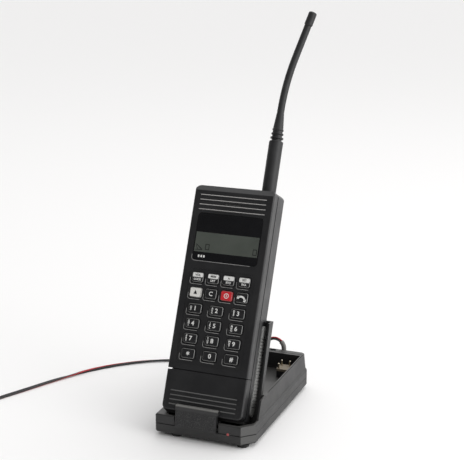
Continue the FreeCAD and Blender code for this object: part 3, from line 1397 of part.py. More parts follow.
def make_lead():
    """Sweep the free run of the power lead and compare its volume with section times length."""
    edges, radii = route_edges(shifted(LEAD_POINTS))
    radius = amount_of("lead_radius")
    tube, length = sweep_round(edges, radius)
    expected = math.pi * radius ** 2 * length
    print("lead: length %.1f mm, volume %.1f of %.1f mm3" % (length, tube.Volume, expected))
    print("lead radii:", ", ".join("%.1f" % value for value in radii))
    return make_feature("power_lead", tube)


def make_coil():
    """Make the put-away coil of the lead as one ring of its outer shape, lying on the table."""
    centre = shifted([(amount_of("coil_x"), amount_of("coil_y"), 0)])[0]
    radius, half, thick = amount_of("coil_radius"), amount_of("coil_wide / 2"), amount_of("coil_thick")
    ring = Part.makeCylinder(radius + half, thick, centre).cut(Part.makeCylinder(radius - half, thick, centre))
    coil = ring.makeChamfer(amount_of("lead_radius"), [edge for edge in ring.Edges if edge.Closed])
    return make_feature("lead_coil", coil)


def make_plug(coil):
    """Turn the low-voltage plug at the lead's far end, its tapered tail against the coil's rim."""
    radius, long = amount_of("plug_radius"), amount_of("plug_long")
    centre = shifted([(amount_of("coil_x"), amount_of("coil_y"), 0)])[0]
    tail = centre + Vector(amount_of("plug_from_x"), amount_of("plug_from_y"), radius)
    turn = math.radians(amount_of("plug_turn"))
    heading = Vector(math.cos(turn), -math.sin(turn), 0)
    body = Part.makeCone(amount_of("lead_radius + 0.5"), radius * 0.7, 10, tail, heading).cut(coil.Shape)
    body = body.fuse(Part.makeCylinder(radius, long, tail + heading * 10, heading))
    body = body.fuse(Part.makeCylinder(radius * 0.55, 9.5, tail + heading * (10 + long), heading))
    return make_feature("lead_plug", body.removeSplitter())


# ------------------------------------------------------------------ build, check and write

make_front_housing()
make_lower_front_cover()
make_rear_housing()
make_display_window()
for key in key_grid():
    make_key(*key)
make_electronics()
make_battery_case()
make_battery_inside()
make_housing_screws()
make_aerial()
make_antenna_socket()
make_lower_shell()
make_upper_shell()
make_front_catch()
make_cradle_fittings()
make_catch_spring()
make_contact_block()
make_contact_pins()
make_phone_contacts()
make_strain_relief()
make_lead()
make_plug(make_coil())
doc.recompute()

failed = [item.Label for item in doc.Objects if "Invalid" in item.State or "Error" in item.State]
if failed:
    raise ValueError("failed objects: %s" % ", ".join(failed))
for node in NODES:
    if node.Shape.isNull() or not node.Shape.isValid():
        raise ValueError("shape of %s is not valid" % node.Label)
os.makedirs("parts", exist_ok=True)
for node in NODES:
    node.Shape.exportStep("parts/%s.step" % node.Label)
print("wrote %d sub-parts" % len(NODES))
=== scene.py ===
import json
import math

import bmesh
import bpy
from mathutils import Matrix, Vector


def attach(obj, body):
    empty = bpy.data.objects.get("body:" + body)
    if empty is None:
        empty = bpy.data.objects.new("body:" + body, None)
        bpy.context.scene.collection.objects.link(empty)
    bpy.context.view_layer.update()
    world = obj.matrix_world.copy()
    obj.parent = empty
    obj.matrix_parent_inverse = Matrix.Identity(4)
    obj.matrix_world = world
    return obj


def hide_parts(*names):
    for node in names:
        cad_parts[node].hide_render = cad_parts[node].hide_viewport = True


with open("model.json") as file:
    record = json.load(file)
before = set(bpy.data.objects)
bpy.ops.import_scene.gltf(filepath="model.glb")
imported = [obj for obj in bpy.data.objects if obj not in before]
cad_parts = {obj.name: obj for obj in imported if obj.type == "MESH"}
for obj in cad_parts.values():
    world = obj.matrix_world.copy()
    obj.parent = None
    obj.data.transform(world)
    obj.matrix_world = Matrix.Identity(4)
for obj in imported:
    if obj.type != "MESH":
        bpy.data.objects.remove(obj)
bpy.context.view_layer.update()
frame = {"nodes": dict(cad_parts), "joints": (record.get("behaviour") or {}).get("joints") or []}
NODES = frame["nodes"]
MM = 0.001


# ------------------------------------------------------------------ camera and cord

CAMERA_SPOT = Vector((375.5, -948.6, 451.1)) * MM
CAMERA_AIM = Vector((16.81, -53.42, 186.52)) * MM
FOCAL_MM = 91.08
SENSOR_MM = 36.0

camera_data = bpy.data.cameras.new("Camera")
camera_data.lens = FOCAL_MM
camera_data.sensor_width = SENSOR_MM
camera_data.clip_start = 0.01
camera_data.clip_end = 20.0
camera = bpy.data.objects.new("Camera", camera_data)
camera.location = CAMERA_SPOT
camera.rotation_mode = "QUATERNION"
camera.rotation_quaternion = (CAMERA_AIM - CAMERA_SPOT).to_track_quat("-Z", "Y")
bpy.context.scene.collection.objects.link(camera)
bpy.context.scene.camera = camera

# The cradle's length and how far its front lies ahead of the origin, in millimetres.
BASE_LONG = 156.0
SET_BACK = 84.9
REAR_FACE = BASE_LONG - SET_BACK
# The lead's route in millimetres, y from the cradle's rear face as in the part's source.
ROUTE = [
    (20.6, 3.0, 29.8),
    (20.6, 3.0, 37.6),
    (15.1, 3.0, 43.1),
    (7.3, 3.2, 43.1),
    (-1.4, 4.0, 35.0),
    (-14.0, 5.5, 22.5),
    (-32.0, 8.0, 10.0),
    (-55.0, 10.5, 3.0),
    (-80.0, 11.5, 1.7),
    (-104.0, 8.5, 1.5),
    (-126.0, -4.0, 1.5),
    (-146.0, -21.0, 1.5),
    (-163.5, -40.5, 1.5),
    (-178.0, -64.0, 1.5),
    (-190.5, -88.0, 1.5),
    (-202.5, -115.0, 1.5),
    (-215.0, -141.0, 1.5),
    (-226.0, -168.0, 1.5),
    (-238.5, -191.5, 1.5),
]

# The coil that the lead's far end is put away in, and the short run from it into the plug's tail.
COIL_CENTRE = (-225.0, -215.0)
COIL_POINTS = 16
# Where the coil starts and how far it turns, in degrees.
COIL_START = 154.0
COIL_END = 4016.0
COIL_COLUMNS = [22.5, 19.7, 16.9, 14.1, 11.3, 8.5]
COIL_LAYERS = [1.5, 4.3]
# Each turn's cell in the coil's section: inwards along the lower layer, then outwards along the upper one.
COIL_CELLS = [(column, 0) for column in range(6)] + [(column, 1) for column in range(5, -1, -1)]
# A step to the next cell: how many degrees before the end of its turn it starts, and how many it takes.
INWARD, UPWARD, OUTWARD = (90.0, 80.0), (150.0, 60.0), (230.0, 80.0)
COIL_STEPS = [INWARD] * 5 + [UPWARD] + [OUTWARD] * 5
PLUG_RUN = [(-16.0, -17.3, 4.8), (-13.0, -22.5, 5.0)]


def coil_cell(turned):
    """Give radius and height of the coil's line after it has turned through some degrees."""
    column, layer = COIL_CELLS[0]
    radius, height = COIL_COLUMNS[column], COIL_LAYERS[layer]
    steps = zip(COIL_STEPS, COIL_CELLS[1:])
    for turn, ((before, wide), (column, layer)) in enumerate(steps, start=1):
        share = min(max((turned - (360.0 * turn - before)) / wide, 0.0), 1.0)
        share = share * share * (3.0 - 2.0 * share)
        radius += share * (COIL_COLUMNS[column] - radius)
        height += share * (COIL_LAYERS[layer] - height)
    return radius, height


def coil_route():
    """List the coil's control points, a little outside its line, then the run into the plug's tail."""
    points = []
    gone = 0.0
    swell = 1.0 / math.cos(math.pi / COIL_POINTS)
    while gone <= COIL_END:
        radius, height = coil_cell(gone)
        angle = math.radians(COIL_START + gone)
        points.append((COIL_CENTRE[0] + swell * radius * math.cos(angle),
                       COIL_CENTRE[1] + swell * radius * math.sin(angle), height))
        gone += 360.0 / COIL_POINTS
    return points + [(COIL_CENTRE[0] + x, COIL_CENTRE[1] + y, z) for x, y, z in PLUG_RUN]


def route_curve(name, points):
    """Make one smooth open curve whose control points are the given ones, in metres."""
    data = bpy.data.curves.new(name, "CURVE")
    data.dimensions = "3D"
    spline = data.splines.new("NURBS")
    spline.points.add(len(points) - 1)
    for slot, point in zip(spline.points, points):
        slot.co = (*point, 1.0)
    spline.order_u = 3
    spline.use_endpoint_u = True
    data.resolution_u = 6
    return bpy.data.objects.new(name, data)


# ------------------------------------------------------------------ the telephone's own axes

LIFT = next(joint for joint in frame["joints"] if joint["name"] == "phone_lift")
FACE_UP = Vector(LIFT["axis"]).normalized()
FACE_RIGHT = Vector((1, 0, 0))
FACE_OUT = FACE_RIGHT.cross(FACE_UP)
FACE = Matrix((FACE_RIGHT, FACE_UP, FACE_OUT)).transposed()


def face_box(node):
    """Give a CAD node's lowest and highest corner in the telephone's axes: across, up the face and out."""
    turned = [FACE.transposed() @ vertex.co for vertex in NODES[node].data.vertices]
    low = Vector([min(point[axis] for point in turned) for axis in range(3)])
    high = Vector([max(point[axis] for point in turned) for axis in range(3)])
    return low, high


# The lower front edge of the telephone's face, at its middle, and its distances along the telephone's axes.
DOCK = Vector((-1.4, 3.31 - SET_BACK, 24.67)) * MM
DOCK_ACROSS, DOCK_UP, DOCK_OUT = FACE_RIGHT.dot(DOCK), FACE_UP.dot(DOCK), FACE_OUT.dot(DOCK)


def on_face(across, up, proud=0.0):
    """Place a point given in millimetres from the telephone's lower front edge."""
    return DOCK + FACE @ (Vector((across, up, proud)) * MM)


def flat_box(node):
    """Give a node's left, low, right and high edge on the telephone's face, in millimetres."""
    low, high = face_box(node)
    return ((low.x - DOCK_ACROSS) / MM, (low.y - DOCK_UP) / MM,
            (high.x - DOCK_ACROSS) / MM, (high.y - DOCK_UP) / MM)


def proud_of(node):
    """Give how far a node's front stands out of the telephone's face, in millimetres."""
    return (face_box(node)[1].z - DOCK_OUT) / MM


# ------------------------------------------------------------------ materials

class Shader:
    """One procedural material: a Principled shader with helpers that add its detail."""

    def __init__(self, name, colour, roughness, metallic=0.0, coat=0.0):
        self.material = bpy.data.materials.new(name)
        self.material.use_nodes = True
        self.nodes = self.material.node_tree.nodes
        self.links = self.material.node_tree.links
        self.shader = self.nodes["Principled BSDF"]
        self.shader.inputs["Base Color"].default_value = (*colour, 1.0)
        self.shader.inputs["Roughness"].default_value = roughness
        self.shader.inputs["Metallic"].default_value = metallic
        self.shader.inputs["Coat Weight"].default_value = coat
        self.colour = colour

    def node(self, kind, **settings):
        """Add one shader node with the given settings."""
        made = self.nodes.new(kind)
        for name, value in settings.items():
            setattr(made, name, value)
        return made

    def noise(self, scale, detail=3.0):
        """Give a cloudy value fixed to the piece."""
        place = self.node("ShaderNodeTexCoord")
        made = self.node("ShaderNodeTexNoise")
        made.inputs["Scale"].default_value = scale
        made.inputs["Detail"].default_value = detail
        self.links.new(place.outputs["Object"], made.inputs["Vector"])
        return made.outputs["Fac"]

    def band(self, value, low, high, to_low=0.0, to_high=1.0):
        """Ramp a value from one range into another."""
        made = self.node("ShaderNodeMapRange", clamp=True)
        ends = {"From Min": low, "From Max": high, "To Min": to_low, "To Max": to_high}
        for name, number in ends.items():
            made.inputs[name].default_value = number
        self.links.new(value, made.inputs["Value"])
        return made.outputs["Result"]

    def times(self, first, second):
        """Multiply two values."""
        made = self.node("ShaderNodeMath", operation="MULTIPLY")
        self.links.new(first, made.inputs[0])
        self.links.new(second, made.inputs[1])
        return made.outputs["Value"]

    def blend_colour(self, share, colour):
        """Mix another colour over the present one where share is 1."""
        made = self.node("ShaderNodeMix", data_type="RGBA")
        made.inputs["A"].default_value = (*self.colour, 1.0)
        made.inputs["B"].default_value = (*colour, 1.0)
        present = self.shader.inputs["Base Color"]
        if present.is_linked:
            self.links.new(present.links[0].from_socket, made.inputs["A"])
        self.links.new(share, made.inputs["Factor"])
        self.links.new(made.outputs["Result"], present)
        return self

    def vary(self, scale, colour, low=0.42, high=0.68, detail=4.0):
        """Cloud the colour softly towards another one."""
        return self.blend_colour(self.band(self.noise(scale, detail), low, high), colour)

    def grain(self, scale, strength, distance=0.0001, detail=2.0):
        """Add a fine moulded grain as bump."""
        made = self.node("ShaderNodeBump")
        made.inputs["Strength"].default_value = strength
        made.inputs["Distance"].default_value = distance
        self.links.new(self.noise(scale, detail), made.inputs["Height"])
        self.links.new(made.outputs["Normal"], self.shader.inputs["Normal"])
        return self

    def gloss_spread(self, scale, low, high):
        """Vary roughness between two values, as handling does."""
        spread = self.band(self.noise(scale), 0.35, 0.65, low, high)
        self.links.new(spread, self.shader.inputs["Roughness"])
        return self

    def dot(self, vector, direction):
        """Give a vector's length along a direction."""
        made = self.node("ShaderNodeVectorMath", operation="DOT_PRODUCT")
        made.inputs[1].default_value = direction
        self.links.new(vector, made.inputs[0])
        return made.outputs["Value"]

    def toward(self, direction):
        """Give the cosine between the surface's normal and a direction."""
        return self.dot(self.node("ShaderNodeNewGeometry").outputs["Normal"], direction)

    def along(self, direction):
        """Give the distance of a point along a direction, in metres."""
        return self.dot(self.node("ShaderNodeTexCoord").outputs["Object"], direction)

    def within(self, value, low, high, soft):
        """Give a share that is 1 where the value is between two numbers."""
        above = self.band(value, low - soft, low + soft)
        below = self.band(value, high + soft, high - soft)
        return self.times(above, below)

    def facing(self, direction, low, high):
        """Give a share that is 1 where the surface's normal is between two cosines from a direction."""
        return self.within(self.toward(direction), low, high, 0.02)


# Colours that several looks share.
BLACK = (0.012, 0.012, 0.013)
SATIN_BLACK = (0.014, 0.014, 0.015)
# A painted highlight colour for edges that would catch the light.
PAINTED_HIGHLIGHT = (0.2, 0.2, 0.195)
# Between which cosines a key's sloped edge faces out of the telephone's face, and a rib's slope up it;
# painted highlights lie there.
KEY_EDGE = (0.35, 0.93)
RIB_SLOPE = (0.2, 0.9)
# Heights up the face, in millimetres, between which the earpiece's and the lower ribs lie.
EAR_RIBS = (178.5, 195.4)
LOWER_RIBS = (4.0, 36.0)
# Half the battery's width, and the height above which the contact block is cream, in millimetres.
BATTERY_HALF = 36.3
CREAM_ABOVE = 25.3

# Casings.
casing = Shader("CasingPlastic", BLACK, 0.4).vary(40, (0.016, 0.016, 0.017)).grain(2600, 0.12)
casing.gloss_spread(60, 0.34, 0.44)


def paint_rib_highlights(low, high, colour):
    """Paint highlights onto the upper slopes of the ribs between two heights up the telephone's face."""
    slopes = casing.facing(FACE_UP, *RIB_SLOPE)
    front = casing.band(casing.along(FACE_OUT), DOCK_OUT - 0.2 * MM, DOCK_OUT)
    rows = casing.within(casing.along(FACE_UP), DOCK_UP + low * MM, DOCK_UP + high * MM, 0.1 * MM)
    casing.blend_colour(casing.times(casing.times(slopes, front), rows), colour)


# Painted highlights: bright on the earpiece's ribs, dimmer on the lower ribs.
paint_rib_highlights(*EAR_RIBS, (0.42, 0.41, 0.4))
paint_rib_highlights(*LOWER_RIBS, (0.11, 0.11, 0.108))
cradle = Shader("CradlePlastic", (0.014, 0.014, 0.0145), 0.45)
cradle.vary(35, (0.02, 0.0195, 0.019)).grain(2200, 0.2).gloss_spread(45, 0.4, 0.5)
# Painted highlights: faces that point upwards and the front corner's cut faces are lighter, where they
# would catch the light.
cradle.blend_colour(cradle.band(cradle.toward((0, 0, 1)), 0.8, 0.95), (0.04, 0.039, 0.037))
cradle.blend_colour(cradle.band(cradle.toward((0.707, -0.707, 0)), 0.92, 0.97), (0.085, 0.085, 0.083))
battery = Shader("BatteryPlastic", BLACK, 0.42).vary(40, (0.016, 0.016, 0.017)).grain(2600, 0.12)
# Painted highlight: the battery's flanks, where its ribbed grips are, are lighter, standing in for the
# light from the right.
for side in (-1, 1):
    flank = side * DOCK.x + BATTERY_HALF * MM
    grip_highlight = battery.band(battery.along((side, 0, 0)), flank + 0.1 * MM, flank + 0.4 * MM)
    battery.blend_colour(grip_highlight, PAINTED_HIGHLIGHT)
catch = Shader("CatchPlastic", SATIN_BLACK, 0.36).vary(60, (0.02, 0.02, 0.02)).grain(2600, 0.12)
# Painted highlight: faces of the catch that turn up and out to the front, such as the bar's top, are
# lighter, as if lit from above.
catch.blend_colour(catch.band(catch.toward((0, -0.35, 0.94)), 0.5, 1.0), (0.16, 0.158, 0.15))
badge = Shader("BadgePlate", SATIN_BLACK, 0.6)
badge.vary(1400, (0.05, 0.05, 0.05), 0.5, 0.62).grain(1500, 0.6)

# Keys, print and display.
# Painted highlights: each key's sloped edges, turned out of the telephone's face, are lighter.
key_black = Shader("KeyBlack", BLACK, 0.3).vary(300, (0.02, 0.02, 0.021)).grain(3000, 0.05)
key_black.blend_colour(key_black.facing(FACE_OUT, *KEY_EDGE), PAINTED_HIGHLIGHT)
key_white = Shader("KeyWhite", (0.78, 0.77, 0.73), 0.4).vary(400, (0.7, 0.69, 0.65)).grain(3000, 0.05)
key_white.blend_colour(key_white.facing(FACE_OUT, *KEY_EDGE), PAINTED_HIGHLIGHT)
key_red = Shader("KeyRed", (0.62, 0.025, 0.035), 0.35).vary(400, (0.5, 0.02, 0.03)).grain(3000, 0.05)
key_red.blend_colour(key_red.facing(FACE_OUT, *KEY_EDGE), (0.3, 0.1, 0.1))
print_white = Shader("PrintWhite", (0.8, 0.8, 0.78), 0.5).vary(900, (0.7, 0.7, 0.68))
print_black = Shader("PrintBlack", (0.01, 0.01, 0.011), 0.45).vary(900, (0.02, 0.02, 0.02))
# Painted highlight grey for the thin lines along the window's and the key wells' edges.
highlight_grey = Shader("PaintedHighlightGrey", (0.36, 0.355, 0.35), 0.4).vary(300, (0.24, 0.24, 0.235)).grain(2600, 0.1)
window = Shader("WindowAcrylic", (0.004, 0.004, 0.005), 0.08).vary(80, (0.006, 0.006, 0.007))
window.gloss_spread(90, 0.06, 0.12)
lcd = Shader("LcdGlass", (0.078, 0.088, 0.076), 0.3).vary(45, (0.062, 0.07, 0.06)).grain(4000, 0.05)
lcd_ink = Shader("LcdInk", (0.003, 0.003, 0.003), 0.6).vary(800, (0.006, 0.006, 0.006))

# Rubber, metal and the inside.
rubber = Shader("AerialRubber", (0.011, 0.011, 0.012), 0.5).vary(70, (0.018, 0.018, 0.019)).grain(1800, 0.2)
foot = Shader("FootRubber", (0.008, 0.008, 0.008), 0.75).vary(200, (0.014, 0.014, 0.014)).grain(1500, 0.4)
steel = Shader("Steel", (0.55, 0.55, 0.54), 0.3, metallic=1.0)
steel.vary(400, (0.42, 0.42, 0.41)).grain(3000, 0.1)
dark_steel = Shader("DarkSteel", (0.03, 0.03, 0.03), 0.4, metallic=1.0)
dark_steel.vary(400, (0.05, 0.05, 0.05)).grain(3000, 0.1)
gold = Shader("ContactMetal", (0.5, 0.46, 0.38), 0.3, metallic=1.0)
gold.vary(700, (0.4, 0.35, 0.26)).grain(3000, 0.05)
board = Shader("CircuitBoard", (0.02, 0.1, 0.045), 0.4).vary(500, (0.012, 0.07, 0.03)).grain(2500, 0.2)
mat = Shader("SiliconeMat", (0.02, 0.02, 0.021), 0.6).vary(300, (0.03, 0.03, 0.03)).grain(1500, 0.1)
lamp = Shader("RedLens", (0.35, 0.012, 0.015), 0.15, coat=1.0).vary(900, (0.25, 0.008, 0.01))
cream = Shader("CreamPlastic", (0.014, 0.014, 0.014), 0.5).vary(300, (0.02, 0.02, 0.02)).grain(2500, 0.2)
cream_part = cream.band(cream.along((0, 0, 1)), (CREAM_ABOVE - 0.1) * MM, (CREAM_ABOVE + 0.1) * MM)
cream.blend_colour(cream_part, (0.2, 0.165, 0.12))

# Lead.
sleeve = Shader("SleeveRubber", (0.16, 0.155, 0.145), 0.6).vary(400, (0.12, 0.115, 0.11)).grain(2000, 0.2)
wire_black = Shader("WireBlack", SATIN_BLACK, 0.45).vary(500, (0.022, 0.022, 0.022)).grain(2500, 0.1)
wire_red = Shader("WireRed", (0.45, 0.02, 0.03), 0.45).vary(500, (0.36, 0.014, 0.02)).grain(2500, 0.1)
plug = Shader("PlugPlastic", SATIN_BLACK, 0.4).vary(200, (0.02, 0.02, 0.02)).grain(2400, 0.2)

NODE_LOOKS = [
    (casing, ["front_housing", "lower_front_cover", "rear_housing"]),
    (battery, ["battery_case"]),
    (cradle, ["lower_shell", "upper_shell"]),
    (catch, ["front_catch"]),
    (window, ["display_window"]),
    (lcd, ["lcd_module"]),
    (mat, ["keymat"]),
    (board, ["main_board", "charger_board"]),
    (steel, ["rf_shield", "earpiece", "microphone", "battery_cells", "housing_screws", "base_screws"]),
    (dark_steel, ["catch_pin", "catch_spring"]),
    (gold, ["charge_pads", "antenna_socket", "aerial_stud", "phone_contacts",
            "contact_pin_1", "contact_pin_2", "contact_pin_3"]),
    (rubber, ["aerial_sleeve", "aerial_whip", "aerial_tip"]),
    (lamp, ["charge_led"]),
    (foot, ["rubber_feet"]),
    (cream, ["battery_contact_block"]),
    (sleeve, ["strain_relief"]),
    (plug, ["lead_plug"]),
    (key_white, ["key_shift"]),
    (key_red, ["key_power"]),
]


def dress(item, look):
    """Give a piece one look alone."""
    item.data.materials.clear()
    item.data.materials.append(look.material)


for node_name, node in NODES.items():
    if node_name.startswith("key_"):
        dress(node, key_black)
for look, names in NODE_LOOKS:
    for node_name in names:
        dress(NODES[node_name], look)


# ------------------------------------------------------------------ lead

# Each wire's radius, and how far its middle lies from the twin lead's.
WIRE_RADIUS = 0.9 * MM
WIRE_APART = 0.75 * MM
WIRE_SIDES = 10
STRIPE_SIDES = (0, 1, 2)
# Roll of the twin lead in degrees at distances along it in millimetres.
LEAD_ROLL = [(0, 40), (25, 60), (60, 0), (150, -30), (190, 15),
             (222, 50), (238, 92), (254, 150), (276, 200), (340, 225)]


def roll_at(distance):
    """Give the twin lead's roll, in radians, eased between the listed places."""
    for (start, low), (end, high) in zip(LEAD_ROLL, LEAD_ROLL[1:]):
        if distance <= end:
            share = (distance - start) / (end - start)
            return math.radians(low + (high - low) * share * share * (3 - 2 * share))
    return math.radians(LEAD_ROLL[-1][1])


def smooth_line(points):
    """Read points along the smooth line that has the given control points."""
    guide = route_curve("LeadGuide", points)
    line = bpy.data.meshes.new_from_object(guide)
    return [vertex.co.copy() for vertex in line.vertices]


def wire_rings(line):
    """List the points of both wires' rings along a line, rolled about it."""
    verts = []
    side = Vector((0, -1, 0))
    gone = 0.0
    for index, point in enumerate(line):
        ahead = line[min(index + 1, len(line) - 1)]
        behind = line[max(index - 1, 0)]
        heading = (ahead - behind).normalized()
        side = (side - heading * side.dot(heading)).normalized()
        rise = heading.cross(side)
        gone += (point - behind).length / MM
        roll = roll_at(gone)
        outward = rise * math.sin(roll) - side * math.cos(roll)
        over = rise * math.cos(roll) + side * math.sin(roll)
        for sign in (-1, 1):
            for corner in range(WIRE_SIDES):
                turn = 2 * math.pi * corner / WIRE_SIDES
                spoke = outward * math.cos(turn) + over * math.sin(turn)
                verts.append(tuple(point + outward * (sign * WIRE_APART) + spoke * WIRE_RADIUS))
    return verts


def wire_faces(count):
    """List the faces between some number of rings, and each one's material: 1 on the stripe."""
    faces, slots = [], []
    ring = 2 * WIRE_SIDES
    for index in range(count - 1):
        for wire in (0, 1):
            near = index * ring + wire * WIRE_SIDES
            far = near + ring
            for corner in range(WIRE_SIDES):
                following = (corner + 1) % WIRE_SIDES
                faces.append((near + corner, near + following, far + following, far + corner))
                slots.append(1 if wire == 1 and corner in STRIPE_SIDES else 0)
    last = (count - 1) * ring
    for first in (0, WIRE_SIDES, last, last + WIRE_SIDES):
        faces.append(tuple(range(first, first + WIRE_SIDES)))
        slots.append(0)
    return faces, slots


def twin_lead(name, line):
    """Sweep two joined wires along a line, one of them with a coloured stripe."""
    faces, slots = wire_faces(len(line))
    data = bpy.data.meshes.new(name)
    data.from_pydata(wire_rings(line), [], faces)
    shape = bmesh.new()
    shape.from_mesh(data)
    bmesh.ops.recalc_face_normals(shape, faces=shape.faces)
    shape.to_mesh(data)
    shape.free()
    data.materials.append(wire_black.material)
    data.materials.append(wire_red.material)
    for face, slot in zip(data.polygons, slots):
        face.material_index = slot
        face.use_smooth = True
    item = bpy.data.objects.new(name, data)
    bpy.context.scene.collection.objects.link(item)
    return item


lead_points = [Vector((x, REAR_FACE + y, z)) * MM for x, y, z in ROUTE + coil_route()]
lead_line = smooth_line(lead_points)
lead = twin_lead("PowerLead", lead_line)
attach(lead, "cradle")
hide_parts("power_lead", "lead_coil")


# ------------------------------------------------------------------ thin plates and marks

PRINT_THICK = 0.03
PRINT_LIFT = 0.02


def thin_plate(name, outlines, look, place, body, thick=PRINT_THICK):
    """Make closed thin prisms from flat outlines in millimetres, which place turns into points."""
    shape = bmesh.new()
    for outline in outlines:
        backs = [shape.verts.new(place(across, up, 0.0)) for across, up in outline]
        fronts = [shape.verts.new(place(across, up, thick)) for across, up in outline]
        shape.faces.new(fronts)
        shape.faces.new(list(reversed(backs)))
        for index in range(len(outline)):
            following = (index + 1) % len(outline)
            shape.faces.new((backs[index], backs[following], fronts[following], fronts[index]))
    bmesh.ops.recalc_face_normals(shape, faces=shape.faces)
    data = bpy.data.meshes.new(name)
    shape.to_mesh(data)
    shape.free()
    item = bpy.data.objects.new(name, data)
    bpy.context.scene.collection.objects.link(item)
    dress(item, look)
    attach(item, body)


def bar(left, low, right, high):
    """Outline a rectangle."""
    return [(left, low), (right, low), (right, high), (left, high)]


def rounded(left, low, right, high, radius, steps=5):
    """Outline a rectangle with round corners."""
    points = []
    corners = [(right - radius, high - radius, 0), (left + radius, high - radius, 90),
               (left + radius, low + radius, 180), (right - radius, low + radius, 270)]
    for across, up, start in corners:
        for step in range(steps + 1):
            turn = math.radians(start + 90 * step / steps)
            points.append((across + radius * math.cos(turn), up + radius * math.sin(turn)))
    return points


def ring_bits(across, up, inner, outer, start, end, steps=14):
    """List the four-cornered bits of a flat arc."""
    def spot(radius, step):
        turn = math.radians(start + (end - start) * step / steps)
        return across + radius * math.cos(turn), up + radius * math.sin(turn)
    return [[spot(inner, step), spot(outer, step), spot(outer, step + 1), spot(inner, step + 1)]
            for step in range(steps)]


def moved(outlines, across, up):
    """Shift outlines."""
    return [[(x + across, y + up) for x, y in outline] for outline in outlines]


def turned(outlines, degrees):
    """Turn outlines about the origin."""
    cosine, sine = math.cos(math.radians(degrees)), math.sin(math.radians(degrees))
    return [[(x * cosine - y * sine, x * sine + y * cosine) for x, y in outline] for outline in outlines]


def highlight_outline(box, gap, wide, radius, left_share, right_share):
    """Outline a thin painted highlight line under a box and round its lower left corner, up part of its
    left side.
    """
    left, low, right, high = box
    bits = ring_bits(left + radius, low + radius, radius + gap, radius + gap + wide, 180, 270, 6)
    bits.append(bar(left + radius, low - gap - wide, left + (right - left) * right_share, low - gap))
    bits.append(bar(left - gap - wide, low + radius, left - gap, low + (high - low) * left_share))
    return bits


def face_place(proud):
    """Return a placing function on the telephone's face, a little proud of it."""
    return lambda across, up, out: on_face(across, up, proud + out)


# The display's pane and its marks, in millimetres across and up the telephone's face.
PANE = (-30.2, 142.1, 30.0, 160.0)
PANE_THICK = 0.05
ZERO_WIDE, ZERO_TALL, STROKE = 4.0, 5.4, 0.7
ZERO = [bar(0, 0, STROKE, ZERO_TALL), bar(ZERO_WIDE - STROKE, 0, ZERO_WIDE, ZERO_TALL),
        bar(STROKE, 0, ZERO_WIDE - STROKE, STROKE),
        bar(STROKE, ZERO_TALL - STROKE, ZERO_WIDE - STROKE, ZERO_TALL)]
ZERO_SPOTS = [(-19.9, 144.2), (25.4, 143.9)]
SIGNAL_MARK = [[(-29.2, 148.9), (-28.2, 148.9), (-22.2, 144.4), (-23.4, 144.2)],
               bar(-29.2, 143.6, -22.4, 144.2),
               [(-29.2, 148.4), (-28.8, 148.4), (-26.6, 144.2), (-27.2, 144.2)]]
SMALL_MARK = bar(-25.6, 137.2, -24.1, 139.3)
SMALL_PITCH = 2.5

window_proud = proud_of("display_window") + PRINT_LIFT
thin_plate("LcdPane", [bar(*PANE)], lcd, face_place(window_proud), "phone", PANE_THICK)
pane_marks = list(SIGNAL_MARK)
for spot in ZERO_SPOTS:
    pane_marks += moved(ZERO, *spot)
thin_plate("LcdMarks", pane_marks, lcd_ink, face_place(window_proud + PANE_THICK), "phone")
small_marks = []
for step in range(3):
    small_marks += moved([SMALL_MARK], SMALL_PITCH * step, 0)
thin_plate("WindowMark", small_marks, print_white, face_place(window_proud), "phone")

# Painted highlights, thin light lines along the lower and left edges of the window and of the key wells:
# gap, width and corner radius in millimetres, then how much of the left and lower side.
WINDOW_HIGHLIGHT = (0.25, 0.4, 2.6, 0.12, 0.9)
WELL_HIGHLIGHT = (0.75, 0.4, 0.9, 0.45, 0.85)
window_highlight = highlight_outline(flat_box("display_window"), *WINDOW_HIGHLIGHT)
thin_plate("WindowEdgeHighlight", window_highlight, highlight_grey, face_place(PRINT_LIFT), "phone")
well_highlights = []
for node_name in NODES:
    if node_name.startswith("key_"):
        well_highlights += highlight_outline(flat_box(node_name), *WELL_HIGHLIGHT)
thin_plate("WellEdgeHighlights", well_highlights, highlight_grey, face_place(PRINT_LIFT), "phone")

# The middle of the lower edge of the catch's front plate in millimetres, and the plate's lean.
CATCH_FOOT = Vector((-4.4, -87.8, 12.3))
CATCH_LEAN = math.radians(10.5)
BADGE_OUTLINE = rounded(-18.6, 1.0, 18.6, 14.6, 0.8)
BADGE_THICK = 0.12


def catch_place(across, up, out):
    """Place a point on the catch's leaning front plate."""
    back = up * math.sin(CATCH_LEAN) - out * math.cos(CATCH_LEAN)
    rise = up * math.cos(CATCH_LEAN) + out * math.sin(CATCH_LEAN)
    return (CATCH_FOOT + Vector((across, back, rise))) * MM


thin_plate("CatchBadge", [BADGE_OUTLINE], badge, catch_place, "catch", BADGE_THICK)


# ------------------------------------------------------------------ printing on the keys

# Sizes and places of the print in millimetres.
LETTER_LIFT = 0.02
LETTER_DEPTH = 0.02
THIN_STROKE, BOLD_STROKE = 0.08, 0.12
DIGIT_SIZE, WORD_SIZE, LETTER_SIZE = 5.4, 2.6, 2.3
DIGIT_ASIDE, LETTERS_ASIDE, WORD_RISE = 0.3, -3.7, 1.9
LABEL_OUTLINE = rounded(-4.85, 0.1, 4.85, 3.8, 0.9)
LABEL_WORD_LIFT = 0.04
DIGIT_TEXT = {"hash": "#"}
LETTERS = {"1": "QZ", "2": "ABC", "3": "DEF", "4": "GHI", "5": "JKL", "6": "MNO", "7": "PRS", "8": "TUV",
           "9": "WXY", "0": "", "hash": ""}
MENU_WORDS = {"volume": ("VOL", "LOCK"), "lock": ("MEM", "LIST"), "store": ("A", "STO"),
              "recall": ("SET", "RCL")}


def key_place(node):
    """Return a placing function from a key's middle, on its front, in millimetres."""
    low, high = face_box(node)
    middle = (low + high) / 2

    def place(across, up, out):
        return FACE @ (Vector((middle.x, middle.y, high.z)) + Vector((across, up, LETTER_LIFT + out)) * MM)
    return place


